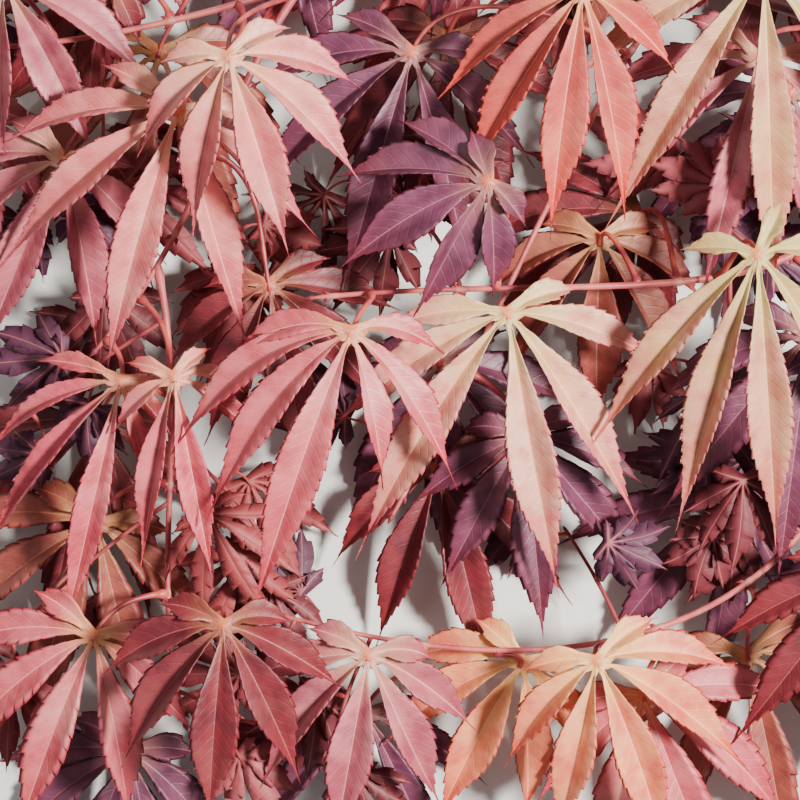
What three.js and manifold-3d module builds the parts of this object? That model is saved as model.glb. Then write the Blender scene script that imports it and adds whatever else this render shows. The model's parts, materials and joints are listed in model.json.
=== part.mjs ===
// Branch cut from a Japanese maple with deeply lobed red leaves, lying on a floor with the faces of
// its leaves up. Millimetres, +Z up from the floor at Z = 0. The cut end of the stem lies to the
// right, at +X, the stem runs along the far side, at +Y, and the leaf tips hang towards -Y.

import * as THREE from "three";
import { mergeVertices } from "three/addons/utils/BufferGeometryUtils.js";
import Module from "manifold-3d";

const wasm = await Module();
wasm.setup();

const { clamp, degToRad, lerp } = THREE.MathUtils;
const UP = new THREE.Vector3(0, 0, 1);

// A full-grown leaf from its hub to the tip of its middle lobe, the turn of each of its seven
// lobes from the middle one in degrees, and their reaches as shares of that length
const LEAF_LENGTH = 71;
const LOBE_TURNS = [-102, -65, -32, 0, 32, 65, 102];
const LOBE_REACHES = [0.34, 0.66, 0.88, 1, 0.88, 0.66, 0.34];

// A lobe of full reach is this wide, and the shortest one this share of it. Each is a lance blade
// that is widest past its middle, folded up along its midrib, and drawn in close to the hub.
const LOBE_WIDTH = 14;
const NARROWEST = 0.42;
const WIDEST_AT = 0.56;
const SWELL_POWER = 1.25;
const ROOT_HALF_WIDTH = 0.9;
const NOTCH_RADIUS = 3.4;
const FOLD = degToRad(24);
const BLADE_THICKNESS = 1;
const HUB_THICKNESS = 2.4;

// The side lobes arch backwards in plan. The leaf falls away from its hub: a little ahead, more on
// its two wings, whose lobes also roll outwards, and all the more the farther out.
const ARCH = 0.16;
const PITCH = 0.06;
const DROOP = 0.0022;
const WING_SHARE = 0.4;
const FULL_WING_TURN = 25;

// The leaf stalk tapers towards the hub, and its end is sunk into the blade there
const STALK_RADII = [0.95, 0.62];
const STALK_REACH = 24;
const STALK_SUNK = 1.8;

// A stalk or shoot starts this far from the limb that carries it. Elsewhere blades, stalks and
// limbs keep clear of each other as rows of balls, a limb's having its radius and some play, and
// the balls are looked up by cells wider than two of them.
const SEAT_GAP = 0.3;
const BALL_STEP = 1.7;
const BLADE_BALL = 1.2;
const STALK_BALL = 1.2;
const LIMB_PLAY = 1;
const CELL = 5.3;
const CELLS_A_SIDE = 128;

// The middle of the branch, which stands over the origin
const MIDDLE = new THREE.Vector2(20.6, 12);

// The main stem: the points that bend it from its cut end to its tip, its radius at both ends,
// and where its pairs of leaves stand, as shares of its length
const STEM = {
  name: "main_stem",
  bend: [[142, 76, 15], [112, 118, 18], [40, 112, 26], [-62, 114, 24]],
  radii: [2.6, 1.2],
  sides: 8,
  steps: 14,
  pairs: [0.16, 0.28, 0.48, 0.7, 0.86, 0.97],
};

// The shoots: the parent of each, where it forks off, and the points that bend it from there
const SHOOTS = [
  {
    name: "shoot_middle",
    parent: "main_stem",
    at: 0.1,
    bend: [[121, 14, 28], [60, 34, 46], [-22, 26, 42]],
    radii: [1.35, 0.6],
    pairs: [0.16, 0.36, 0.56, 0.84, 0.98],
  },
  {
    name: "shoot_top_right",
    parent: "main_stem",
    at: 0.22,
    bend: [[110, 122, 40], [84, 118, 50], [26, 115, 46]],
    radii: [1.2, 0.6],
    pairs: [0.3, 0.6, 0.97],
  },
  {
    name: "shoot_top_left",
    parent: "main_stem",
    at: 0.82,
    bend: [[-46, 100, 34], [-70, 92, 42], [-104, 90, 38]],
    radii: [1.1, 0.6],
    pairs: [0.5, 0.97],
  },
  {
    name: "shoot_left",
    parent: "main_stem",
    at: 0.86,
    bend: [[-44, 84, 32], [-50, 44, 36], [-78, 13, 34]],
    radii: [1.2, 0.6],
    pairs: [0.45, 0.7],
  },
  {
    name: "shoot_low",
    parent: "shoot_middle",
    at: 0.22,
    bend: [[136, -10, 24], [100, -92, 28], [-30, -56, 28]],
    radii: [1.15, 0.6],
    pairs: [0.4, 0.56, 0.68, 0.9],
  },
  {
    name: "shoot_low_left",
    parent: "shoot_left",
    at: 0.78,
    bend: [[-54, -10, 30], [-66, -46, 28], [-56, -84, 24]],
    radii: [0.95, 0.6],
    pairs: [0.2, 0.45, 0.7, 0.97],
  },
  {
    name: "shoot_back",
    parent: "main_stem",
    at: 0.46,
    bend: [[50, 84, 26], [34, 36, 28], [-2, -30, 26]],
    radii: [1, 0.55],
    pairs: [0.2, 0.46, 0.8, 0.97],
  },
  {
    name: "shoot_right",
    parent: "shoot_low",
    at: 0.24,
    bend: [[122, 2, 30], [124, -34, 32], [112, -60, 28]],
    radii: [0.9, 0.55],
    pairs: [0.3, 0.9],
  },
];
const SHOOT_SIDES = 6;
const SHOOT_STEPS = 12;
const STALK_SIDES = 4;
const STALK_STEPS = 4;

// The leaves on top: the limb of each and the place on it, its hub, the heading of its middle
// lobe in degrees, that lobe's length, and how steeply its right and left wings fall. Turns,
// reaches and arch belong to a leaf whose lobes aren't spread evenly, slimness to a slimmer one.
const TOP_LEAVES = [
  {
    limb: "shoot_middle",
    at: 0.94,
    hub: [-12, 17, 66],
    aim: -109,
    length: 71.5,
    wings: [26, 32],
    turns: [-59, -40, -21, 0, 33, 55, 96],
    reaches: [0.4, 0.71, 0.79, 1, 0.52, 0.61, 0.3],
    arch: 0.3,
  },
  {
    limb: "shoot_middle",
    at: 0.74,
    hub: [27, 22, 50],
    aim: -80,
    length: 70,
    wings: [12, 26],
    turns: [-92, -66, -43, 0, 23, 62, 98],
    reaches: [0.4, 0.7, 0.98, 1, 0.84, 0.55, 0.26],
  },
  {
    limb: "shoot_middle",
    at: 0.5,
    hub: [88, 36, 56],
    aim: -85,
    length: 70,
    wings: [34, 22],
    turns: [-96, -45, -20, 0, 29, 82, 142],
    reaches: [0.24, 0.82, 0.95, 1, 0.74, 0.34, 0.2],
  },
  {
    limb: "shoot_top_right",
    at: 0.84,
    hub: [45, 101, 66],
    aim: -99,
    length: 57,
    wings: [40, 20],
    turns: [-84, -46, -22, 0, 23, 62, 104],
    reaches: [0.4, 0.7, 0.9, 1, 0.93, 0.5, 0.32],
  },
  { limb: "shoot_top_right", at: 0.36, hub: [90, 107, 68], aim: -87, length: 78, wings: [16, 22] },
  {
    limb: "shoot_left",
    at: 0.97,
    hub: [-71, 5, 38],
    aim: -103,
    length: 64,
    wings: [36, 30],
    turns: [-88, -54, -26, 0, 25, 54, 88],
    reaches: [0.34, 0.6, 0.86, 1, 0.4, 0.28, 0.2],
    slimness: 0.8,
  },
  {
    limb: "shoot_left",
    at: 0.86,
    hub: [-57, 6, 48],
    aim: -80,
    length: 50,
    wings: [40, 36],
    turns: [-112, -60, -21, 0, 42, 74, 118],
    reaches: [0.24, 0.4, 0.92, 1, 0.52, 0.34, 0.22],
    slimness: 0.76,
  },
  { limb: "shoot_top_left", at: 0.3, hub: [-55, 72, 60], aim: -108, length: 64, wings: [30, 36] },
  { limb: "shoot_top_left", at: 0.12, hub: [-42, 84, 54], aim: -73, length: 47, wings: [30, 24] },
  { limb: "shoot_top_left", at: 0.84, hub: [-100, 105, 52], aim: -62, length: 46, wings: [24, 24] },
  { limb: "shoot_low", at: 0.74, hub: [50, -66, 44], aim: -68, length: 52, wings: [26, 26] },
  { limb: "shoot_low", at: 0.84, hub: [32, -68, 38], aim: -118, length: 46, wings: [26, 26] },
  { limb: "shoot_low", at: 0.96, hub: [-8, -65, 40], aim: -100, length: 48, wings: [26, 26] },
  { limb: "shoot_back", at: 0.2, hub: [3, 89, 40], aim: -106, length: 60, wings: [22, 22] },
  { limb: "shoot_middle", at: 0.62, hub: [52, 42, 40], aim: -92, length: 46, wings: [34, 34] },
  { limb: "shoot_top_left", at: 0.66, hub: [-86, 62, 42], aim: -112, length: 52, wings: [28, 28] },
  { limb: "shoot_middle", at: 0.8, hub: [22, 54, 56], aim: -150, length: 40, wings: [34, 34] },
  { limb: "shoot_low_left", at: 0.8, hub: [-44, -56, 42], aim: -96, length: 48, wings: [26, 26] },
  { limb: "shoot_back", at: 0.9, hub: [10, -18, 34], aim: -76, length: 54, wings: [24, 24] },
  { limb: "shoot_top_left", at: 0.97, hub: [-112, 76, 40], aim: -118, length: 50, wings: [26, 26] },
  { limb: "shoot_left", at: 0.5, hub: [-34, 30, 28], aim: -78, length: 48, wings: [24, 24] },
];
const TOP_LIFTS = [0, 2, -2, 4, -4, 6, -6, 8, -8, 10, -10, 12, -12, 15, -15, 18, -18];

// The leaves of the pairs lie lower, from the floor up to this many steps above it. They turn
// from their limb most of the way to the heading in which the whole branch hangs.
const PAIR_LIFTS = 19;
const PAIR_STEP = 2;
const HANGING = -90;
const HANGING_SHARE = 0.62;
const PAIR_SWINGS = [0, 16, -16, 32, -32];

// The same stream of numbers for the same seed, each from 0 to 1
function seeded(seed) {
  let state = Math.imul(seed, 2654435761) >>> 0;
  return () => {
    state = (Math.imul(state, 1664525) + 1013904223) >>> 0;
    return state / 4294967296;
  };
}

function between(random, low, high) {
  return low + (high - low) * random();
}

function heading(degrees) {
  return new THREE.Vector3(Math.cos(degToRad(degrees)), Math.sin(degToRad(degrees)), 0);
}

function bentCurve(points) {
  return new THREE.CubicBezierCurve3(...points.map(([x, y, z]) => new THREE.Vector3(x, y, z)));
}

// One closed solid from its points and its three-cornered faces, turned to face out
function solidOf(points, faces) {
  const vertProperties = new Float32Array(points.flatMap((point) => point.toArray()));
  const build = (list) =>
    new wasm.Manifold(
      new wasm.Mesh({ numProp: 3, vertProperties, triVerts: new Uint32Array(list.flat()) }),
    );
  const solid = build(faces);
  return solid.volume() > 0 ? solid : build(faces.map(([a, b, c]) => [a, c, b]));
}

function meshOf(name, solid, material) {
  const { vertProperties, triVerts } = solid.getMesh();
  const geometry = new THREE.BufferGeometry();
  geometry.setAttribute("position", new THREE.BufferAttribute(vertProperties, 3));
  geometry.setIndex(new THREE.BufferAttribute(triVerts, 1));
  const merged = mergeVertices(geometry, 1e-3);
  merged.computeVertexNormals();
  const mesh = new THREE.Mesh(merged, material);
  mesh.name = name;
  mesh.position.set(-MIDDLE.x, -MIDDLE.y, 0);
  return mesh;
}

// A tapering round limb along a curve, with a flat face at each end
function taperedSolid(curve, radii, sides, steps) {
  const points = [];
  const faces = [];
  const chord = curve.getPoint(1).sub(curve.getPoint(0));
  const level = UP.clone().cross(chord).normalize();
  for (let step = 0; step <= steps; step += 1) {
    const share = step / steps;
    const along = curve.getTangent(share);
    const over = along.clone().cross(level).normalize();
    const across = over.clone().cross(along);
    const radius = lerp(radii[0], radii[1], share);
    for (let side = 0; side < sides; side += 1) {
      const angle = (2 * Math.PI * side) / sides;
      const point = curve.getPoint(share);
      point.addScaledVector(across, radius * Math.cos(angle));
      points.push(point.addScaledVector(over, radius * Math.sin(angle)));
    }
  }
  for (let step = 0; step < steps; step += 1) {
    for (let side = 0; side < sides; side += 1) {
      const next = (side + 1) % sides;
      const low = step * sides;
      const high = low + sides;
      faces.push([low + side, low + next, high + next]);
      faces.push([low + side, high + next, high + side]);
    }
  }
  const last = steps * sides;
  for (let side = 1; side < sides - 1; side += 1) {
    faces.push([0, side + 1, side]);
    faces.push([last, last + side, last + side + 1]);
  }
  return solidOf(points, faces);
}

function limbRadius(limb, at) {
  return lerp(limb.radii[0], limb.radii[1], at);
}

// Where a limb or stalk that heads for a point starts, with its end face clear of its parent
function seatOn(parent, at, towards, radius) {
  const root = parent.curve.getPoint(at);
  const along = parent.curve.getTangent(at);
  const away = towards.clone().sub(root).normalize();
  const lean = Math.abs(away.dot(along));
  const square = Math.sqrt(1 - lean * lean);
  const distance = (limbRadius(parent, at) + SEAT_GAP + radius * lean) / square;
  return root.addScaledVector(away, distance);
}

function growShoot(shoot, limbs) {
  const parent = limbs.get(shoot.parent);
  const curve = bentCurve([[0, 0, 0], ...shoot.bend]);
  curve.v0 = seatOn(parent, shoot.at, curve.v1, shoot.radii[0]);
  return { ...shoot, curve, sides: SHOOT_SIDES, steps: SHOOT_STEPS };
}

// The seven lobes of a leaf: heading, reach, width and roll of each
function lobesOf(leaf) {
  const turns = leaf.turns ?? LOBE_TURNS;
  const reaches = leaf.reaches ?? LOBE_REACHES;
  return turns.map((turn, index) => {
    const wing = turn < 0 ? leaf.wings[0] : leaf.wings[1];
    const share = clamp(Math.abs(turn) / FULL_WING_TURN, 0, 1) * Math.cos(degToRad(turn / 2));
    return {
      course: leaf.aim + turn,
      reach: leaf.length * reaches[index],
      halfWidth: (LOBE_WIDTH / 2) * (NARROWEST + (1 - NARROWEST) * reaches[index]) * leaf.breadth,
      roll: degToRad(wing * share) * Math.sign(turn),
      stations: reaches[index] > 0.8 ? 4 : reaches[index] > 0.5 ? 3 : 2,
    };
  });
}

// How far the leaf's surface lies below its hub, at a place given from the hub in plan
function fallAt(leaf, place) {
  const ahead = place.dot(heading(leaf.aim));
  const aside = place.dot(heading(leaf.aim + 90));
  const wing = degToRad(aside < 0 ? leaf.wings[0] : leaf.wings[1]);
  const wingFall = WING_SHARE * Math.tan(wing) * Math.abs(aside);
  return PITCH * ahead + wingFall + DROOP * place.lengthSq();
}

// The middle of a lobe at a share of its reach, with its directions across and out of its face
function lobeFrame(leaf, lobe, share) {
  const course = heading(lobe.course);
  const arch = (leaf.arch ?? ARCH) * lobe.reach * Math.abs(course.x);
  const place = course.clone().multiplyScalar(lobe.reach * share);
  place.y += arch * 2 * share * (1 - share);
  const along = course.clone().multiplyScalar(lobe.reach);
  along.y += arch * (2 - 4 * share);
  const level = UP.clone().cross(along).normalize();
  const across = level.clone().multiplyScalar(Math.cos(lobe.roll));
  across.z -= Math.sin(lobe.roll);
  const out = level.clone().multiplyScalar(Math.sin(lobe.roll));
  out.z += Math.cos(lobe.roll);
  const middle = leaf.hub.clone().add(place);
  middle.z -= fallAt(leaf, place);
  return { middle, across, out };
}

function halfWidthAt(lobe, share) {
  const power = Math.log(0.5) / Math.log(WIDEST_AT);
  const swell = Math.sin(Math.PI * Math.pow(share, power));
  return lobe.halfWidth * Math.pow(Math.max(swell, 0), SWELL_POWER);
}

// A place on a lobe, from its right edge at -1 to its left edge at 1, and off its face
function lobePoint(leaf, lobe, share, side, lift) {
  const { middle, across, out } = lobeFrame(leaf, lobe, share);
  const least = share < 0.5 ? ROOT_HALF_WIDTH : 0;
  const half = Math.max(halfWidthAt(lobe, share), least);
  middle.addScaledVector(across, side * half * Math.cos(FOLD));
  middle.addScaledVector(out, Math.abs(side) * half * Math.sin(FOLD));
  return middle.addScaledVector(out, lift);
}

// The blade as one closed skin: each lobe is a folded strip with its midrib thickest, the notches
// between lobes are shared, and all seven meet at the hub
function bladeSkin(leaf) {
  const lobes = leaf.lobes;
  const points = [leaf.hub.clone(), leaf.hub.clone()];
  points[0].z += HUB_THICKNESS / 2;
  points[1].z -= HUB_THICKNESS / 2;
  const faces = [];
  const notches = lobes.map((lobe, index) => {
    const next = lobes[(index + 1) % lobes.length];
    const gap = (next.course - lobe.course + 360) % 360;
    const place = heading(lobe.course + gap / 2).multiplyScalar(NOTCH_RADIUS);
    const point = leaf.hub.clone().add(place);
    point.z -= fallAt(leaf, place);
    points.push(point);
    return points.length - 1;
  });
  lobes.forEach((lobe, index) => {
    const right = notches[(index + lobes.length - 1) % lobes.length];
    const left = notches[index];
    let row = { right, left, top: 0, bottom: 1 };
    for (let station = 1; station <= lobe.stations; station += 1) {
      const share = station / (lobe.stations + 1);
      const first = points.length;
      points.push(lobePoint(leaf, lobe, share, -1, 0));
      points.push(lobePoint(leaf, lobe, share, 1, 0));
      points.push(lobePoint(leaf, lobe, share, 0, BLADE_THICKNESS / 2));
      points.push(lobePoint(leaf, lobe, share, 0, -BLADE_THICKNESS / 2));
      const next = { right: first, left: first + 1, top: first + 2, bottom: first + 3 };
      faces.push([row.right, next.right, next.top], [row.right, next.top, row.top]);
      faces.push([row.top, next.top, row.left], [row.left, next.top, next.left]);
      faces.push([row.right, next.bottom, next.right], [row.right, row.bottom, next.bottom]);
      faces.push([row.bottom, row.left, next.bottom], [row.left, next.left, next.bottom]);
      row = next;
    }
    const tip = points.length;
    points.push(lobePoint(leaf, lobe, 1, 0, 0));
    faces.push([row.right, tip, row.top], [row.top, tip, row.left]);
    faces.push([row.right, row.bottom, tip], [row.bottom, row.left, tip]);
  });
  return { points, faces };
}

// The stalk leaves its limb square, and comes to the hub from behind the middle lobe
function stalkCurve(leaf, limb) {
  const root = limb.curve.getPoint(leaf.at);
  const along = limb.curve.getTangent(leaf.at);
  const away = leaf.hub.clone().sub(root);
  const reach = away.length();
  away.addScaledVector(along, -away.dot(along)).normalize();
  const first = root.clone().addScaledVector(away, 0.4 * reach);
  const start = seatOn(limb, leaf.at, first, STALK_RADII[0]);
  const last = leaf.hub.clone().addScaledVector(heading(leaf.aim), -0.35 * reach);
  last.z += 0.4 * (root.z - leaf.hub.z);
  const end = leaf.hub.clone().addScaledVector(heading(leaf.aim), STALK_SUNK);
  return new THREE.CubicBezierCurve3(start, first, last, end);
}

// The balls that stand for a leaf or a limb when its clearance is tested
function curveBalls(curve, radiusAt) {
  const count = Math.ceil(curve.getLength() / BALL_STEP);
  const balls = [];
  for (let step = 0; step <= count; step += 1) {
    balls.push({ centre: curve.getPoint(step / count), radius: radiusAt(step / count) });
  }
  return balls;
}

function bladeBalls(leaf) {
  const balls = [];
  for (const lobe of leaf.lobes) {
    const rows = Math.ceil(lobe.reach / BALL_STEP);
    for (let row = 1; row <= rows; row += 1) {
      const share = row / rows;
      const columns = Math.ceil(halfWidthAt(lobe, share) / BALL_STEP);
      for (let column = -columns; column <= columns; column += 1) {
        const centre = lobePoint(leaf, lobe, share, columns ? column / columns : 0, 0);
        balls.push({ centre, radius: BLADE_BALL });
      }
    }
  }
  return balls;
}

// The room that is taken, kept as balls by cell
const taken = new Map();

function cellOf(value) {
  return Math.floor(value / CELL) + CELLS_A_SIDE / 2;
}

function cellKey(x, y, z) {
  return (x * CELLS_A_SIDE + y) * CELLS_A_SIDE + z;
}

function take(balls, owner) {
  for (const ball of balls) {
    const { x, y, z } = ball.centre;
    const key = cellKey(cellOf(x), cellOf(y), cellOf(z));
    if (!taken.has(key)) taken.set(key, []);
    taken.get(key).push({ ...ball, owner });
  }
}

function meetsTaken(ball, spared) {
  const [x, y, z] = ball.centre.toArray().map(cellOf);
  for (let dx = -1; dx <= 1; dx += 1) {
    for (let dy = -1; dy <= 1; dy += 1) {
      for (let dz = -1; dz <= 1; dz += 1) {
        for (const other of taken.get(cellKey(x + dx, y + dy, z + dz)) ?? []) {
          const reach = ball.radius + other.radius;
          const near = other.centre.distanceToSquared(ball.centre) < reach * reach;
          if (near && other.owner !== spared) return true;
        }
      }
    }
  }
  return false;
}

// A leaf stands at the first of its heights where it meets nothing, or isn't grown
function placeLeaf(leaf, limb, heights) {
  leaf.lobes = lobesOf(leaf);
  for (const height of heights) {
    leaf.hub.z = height;
    const stalk = stalkCurve(leaf, limb);
    const blade = bladeBalls(leaf);
    const stalkBalls = curveBalls(stalk, () => STALK_BALL);
    const clear =
      bladeSkin(leaf).points.every((point) => point.z > -1e-6) &&
      !blade.some((ball) => meetsTaken(ball, null)) &&
      !stalkBalls.some((ball) => meetsTaken(ball, limb.name));
    if (clear) {
      take(blade, leaf.name);
      take(stalkBalls, leaf.name);
      return { ...leaf, stalk };
    }
  }
  return null;
}

// Blade and stalk in one, without the slivers that the join can leave where creases meet
function leafSolid(leaf) {
  const { points, faces } = bladeSkin(leaf);
  const stalk = taperedSolid(leaf.stalk, STALK_RADII, STALK_SIDES, STALK_STEPS);
  const pieces = solidOf(points, faces).add(stalk).decompose();
  return pieces.reduce((most, piece) => (piece.volume() > most.volume() ? piece : most));
}

function topLeaf(entry, index) {
  const random = seeded(index + 1);
  return {
    ...entry,
    name: `leaf_top_${String(index + 1).padStart(2, "0")}`,
    hub: new THREE.Vector3(...entry.hub),
    breadth: between(random, 0.94, 1.06) * (entry.slimness ?? 1),
  };
}

// One leaf of a pair, on the right of its limb for side -1 and on the left for side 1
function pairLeaf(limb, pair, side, index) {
  const random = seeded(101 + index);
  const at = limb.pairs[pair];
  const along = limb.curve.getTangent(at);
  const course = THREE.MathUtils.radToDeg(Math.atan2(along.y, along.x));
  const away = course + side * between(random, 48, 76);
  const root = limb.curve.getPoint(at);
  const hub = root.addScaledVector(heading(away), STALK_REACH * between(random, 0.75, 1.1));
  const turn = ((HANGING - away + 540) % 360) - 180;
  return {
    name: `leaf_${limb.name.replace("shoot_", "")}_${pair + 1}${side < 0 ? "a" : "b"}`,
    limb: limb.name,
    at,
    hub,
    aim: away + turn * HANGING_SHARE + between(random, -12, 12),
    length: LEAF_LENGTH * between(random, 0.7, 0.96),
    wings: [between(random, 12, 30), between(random, 12, 30)],
    turns: LOBE_TURNS.map((lobeTurn) => lobeTurn * between(random, 0.94, 1.06)),
    reaches: LOBE_REACHES.map((reach) => reach * between(random, 0.93, 1.03)),
    breadth: between(random, 0.9, 1.08),
  };
}

// The heights of a hub from where its leaf just lies on the floor
function heightsFromFloor(leaf) {
  const lying = { ...leaf, lobes: lobesOf(leaf), hub: leaf.hub.clone().setZ(0) };
  const low = -Math.min(...bladeSkin(lying).points.map((point) => point.z));
  return Array.from({ length: PAIR_LIFTS }, (_, step) => low + PAIR_STEP * step);
}

// A leaf of a pair swings round its hub where it finds no room straight away
function placePairLeaf(leaf, limb) {
  for (const swing of PAIR_SWINGS) {
    const swung = { ...leaf, aim: leaf.aim + swing };
    const placed = placeLeaf(swung, limb, heightsFromFloor(swung));
    if (placed) return placed;
  }
  return null;
}

const BARK = new THREE.MeshStandardMaterial({ color: "#6e2f36", roughness: 0.55, metalness: 0 });
const SHOOT_SKIN = new THREE.MeshStandardMaterial({ color: "#c4545a", roughness: 0.45, metalness: 0 });
const LEAF_SKIN = new THREE.MeshStandardMaterial({ color: "#c98486", roughness: 0.6, metalness: 0 });
const LOW_LEAF_SKIN = new THREE.MeshStandardMaterial({
  color: "#7e3f49",
  roughness: 0.6,
  metalness: 0,
});

const branch = new THREE.Group();
const limbs = new Map();
limbs.set(STEM.name, { ...STEM, curve: bentCurve(STEM.bend) });
for (const shoot of SHOOTS) {
  limbs.set(shoot.name, growShoot(shoot, limbs));
}
for (const limb of limbs.values()) {
  const solid = taperedSolid(limb.curve, limb.radii, limb.sides, limb.steps);
  branch.add(meshOf(limb.name, solid, limb.name === STEM.name ? BARK : SHOOT_SKIN));
  take(curveBalls(limb.curve, (share) => limbRadius(limb, share) + LIMB_PLAY), limb.name);
}

TOP_LEAVES.forEach((entry, index) => {
  const heights = TOP_LIFTS.map((lift) => entry.hub[2] + lift);
  const leaf = placeLeaf(topLeaf(entry, index), limbs.get(entry.limb), heights);
  if (leaf) branch.add(meshOf(leaf.name, leafSolid(leaf), LEAF_SKIN));
});
let pairIndex = 0;
for (const limb of limbs.values()) {
  limb.pairs.forEach((at, pair) => {
    for (const side of [-1, 1]) {
      const leaf = placePairLeaf(pairLeaf(limb, pair, side, pairIndex), limb);
      if (leaf) branch.add(meshOf(leaf.name, leafSolid(leaf), LOW_LEAF_SKIN));
      pairIndex += 1;
    }
  });
}

export default branch;
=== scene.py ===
# A branch cut from a red Japanese maple, lying on a pale floor with the faces of its leaves up.
# Places are worked out in millimetres from the middle of the photographed view, as the branch
# was drawn, and become metres from the middle of the whole branch when a mesh is made.

import json
import math

import bmesh
import bpy
import numpy as np
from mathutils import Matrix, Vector

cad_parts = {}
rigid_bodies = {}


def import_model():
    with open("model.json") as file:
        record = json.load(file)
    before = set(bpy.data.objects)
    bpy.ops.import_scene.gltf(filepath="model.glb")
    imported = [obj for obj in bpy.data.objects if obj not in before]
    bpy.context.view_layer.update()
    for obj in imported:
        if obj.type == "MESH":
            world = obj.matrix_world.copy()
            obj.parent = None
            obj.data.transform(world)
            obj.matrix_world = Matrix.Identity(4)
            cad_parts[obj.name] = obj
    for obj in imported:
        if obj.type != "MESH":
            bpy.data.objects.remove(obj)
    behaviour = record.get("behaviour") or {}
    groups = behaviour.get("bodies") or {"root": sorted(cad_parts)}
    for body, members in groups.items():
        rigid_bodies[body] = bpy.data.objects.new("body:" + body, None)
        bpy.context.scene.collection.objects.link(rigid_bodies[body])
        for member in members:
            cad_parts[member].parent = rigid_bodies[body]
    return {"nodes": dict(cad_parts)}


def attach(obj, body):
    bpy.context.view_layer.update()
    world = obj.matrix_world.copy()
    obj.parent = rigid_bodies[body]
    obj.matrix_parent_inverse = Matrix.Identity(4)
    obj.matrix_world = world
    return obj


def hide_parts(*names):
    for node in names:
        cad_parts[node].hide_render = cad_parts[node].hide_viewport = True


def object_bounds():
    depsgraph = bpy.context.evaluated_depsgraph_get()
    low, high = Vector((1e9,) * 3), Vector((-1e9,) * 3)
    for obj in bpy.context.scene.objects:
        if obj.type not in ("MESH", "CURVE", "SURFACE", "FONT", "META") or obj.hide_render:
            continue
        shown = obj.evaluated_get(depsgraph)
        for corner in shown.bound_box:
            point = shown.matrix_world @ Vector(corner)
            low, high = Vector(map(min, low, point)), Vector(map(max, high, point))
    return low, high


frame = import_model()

solids_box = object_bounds()
bpy.ops.object.select_all(action="DESELECT")

# The main stem and its shoots
# The stem is last year's wood, 5 mm thick at its cut. Thin red shoots fork off it and off each
# other, and where their pairs of leaves stand each has a joint, a little swollen, with a scar ring.

METRE = 0.001
MIDDLE = np.array([20.6, 12.0, 0.0])
UP = np.array([0.0, 0.0, 1.0])
LIMBS = {
    "main_stem": {
        "bend": [(142, 76, 15), (112, 118, 18), (40, 112, 26), (-62, 114, 24)],
        "radii": (2.6, 1.2),
        "pairs": [0.16, 0.28, 0.48, 0.7, 0.86, 0.97],
    },
    "shoot_middle": {
        "parent": "main_stem",
        "at": 0.1,
        "bend": [(121, 14, 28), (60, 34, 46), (-22, 26, 42)],
        "radii": (1.35, 0.6),
        "pairs": [0.16, 0.36, 0.56, 0.84, 0.98],
    },
    "shoot_top_right": {
        "parent": "main_stem",
        "at": 0.22,
        "bend": [(110, 122, 40), (84, 118, 50), (26, 115, 46)],
        "radii": (1.2, 0.6),
        "pairs": [0.3, 0.6, 0.97],
    },
    "shoot_top_left": {
        "parent": "main_stem",
        "at": 0.82,
        "bend": [(-46, 100, 34), (-70, 92, 42), (-104, 90, 38)],
        "radii": (1.1, 0.6),
        "pairs": [0.5, 0.97],
    },
    "shoot_left": {
        "parent": "main_stem",
        "at": 0.86,
        "bend": [(-44, 84, 32), (-50, 44, 36), (-78, 13, 34)],
        "radii": (1.2, 0.6),
        "pairs": [0.45, 0.7],
    },
    "shoot_low": {
        "parent": "shoot_middle",
        "at": 0.22,
        "bend": [(136, -10, 24), (100, -92, 28), (-30, -56, 28)],
        "radii": (1.15, 0.6),
        "pairs": [0.4, 0.56, 0.68, 0.9],
    },
    "shoot_low_left": {
        "parent": "shoot_left",
        "at": 0.78,
        "bend": [(-54, -10, 30), (-66, -46, 28), (-56, -84, 24)],
        "radii": (0.95, 0.6),
        "pairs": [0.2, 0.45, 0.7, 0.97],
    },
    "shoot_back": {
        "parent": "main_stem",
        "at": 0.46,
        "bend": [(50, 84, 26), (34, 36, 28), (-2, -30, 26)],
        "radii": (1, 0.55),
        "pairs": [0.2, 0.46, 0.8, 0.97],
    },
    "shoot_right": {
        "parent": "shoot_low",
        "at": 0.24,
        "bend": [(122, 2, 30), (124, -34, 32), (112, -60, 28)],
        "radii": (0.9, 0.55),
        "pairs": [0.3, 0.9],
    },
}
SEAT_GAP = 0.3
JOINT_SWELLING = 0.24
JOINT_LENGTH = 1.3
SCAR_DEPTH = 0.12
SCAR_LEVEL = 0.5
SCAR_WIDTH = 0.12
COLLAR_SWELLING = 0.4
COLLAR_LENGTH = 1.8
SHOOT_TIP_NARROWING = 0.3
SHOOT_TIP_LENGTH = 1.2
RIDGE_DEPTH = 0.035
RIDGES = 5
RIDGE_TWIST = 7
RIDGE_LENGTH = 3.1
FINE_RIDGE_SHARE = 0.6
FINE_RIDGES = 9
FINE_RIDGE_TWIST = 4.3
LIMB_STEPS = 220
LIMB_ROUNDNESS = 6
LENGTH_STEPS = 60
EDGE_ANGLE = 50


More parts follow.
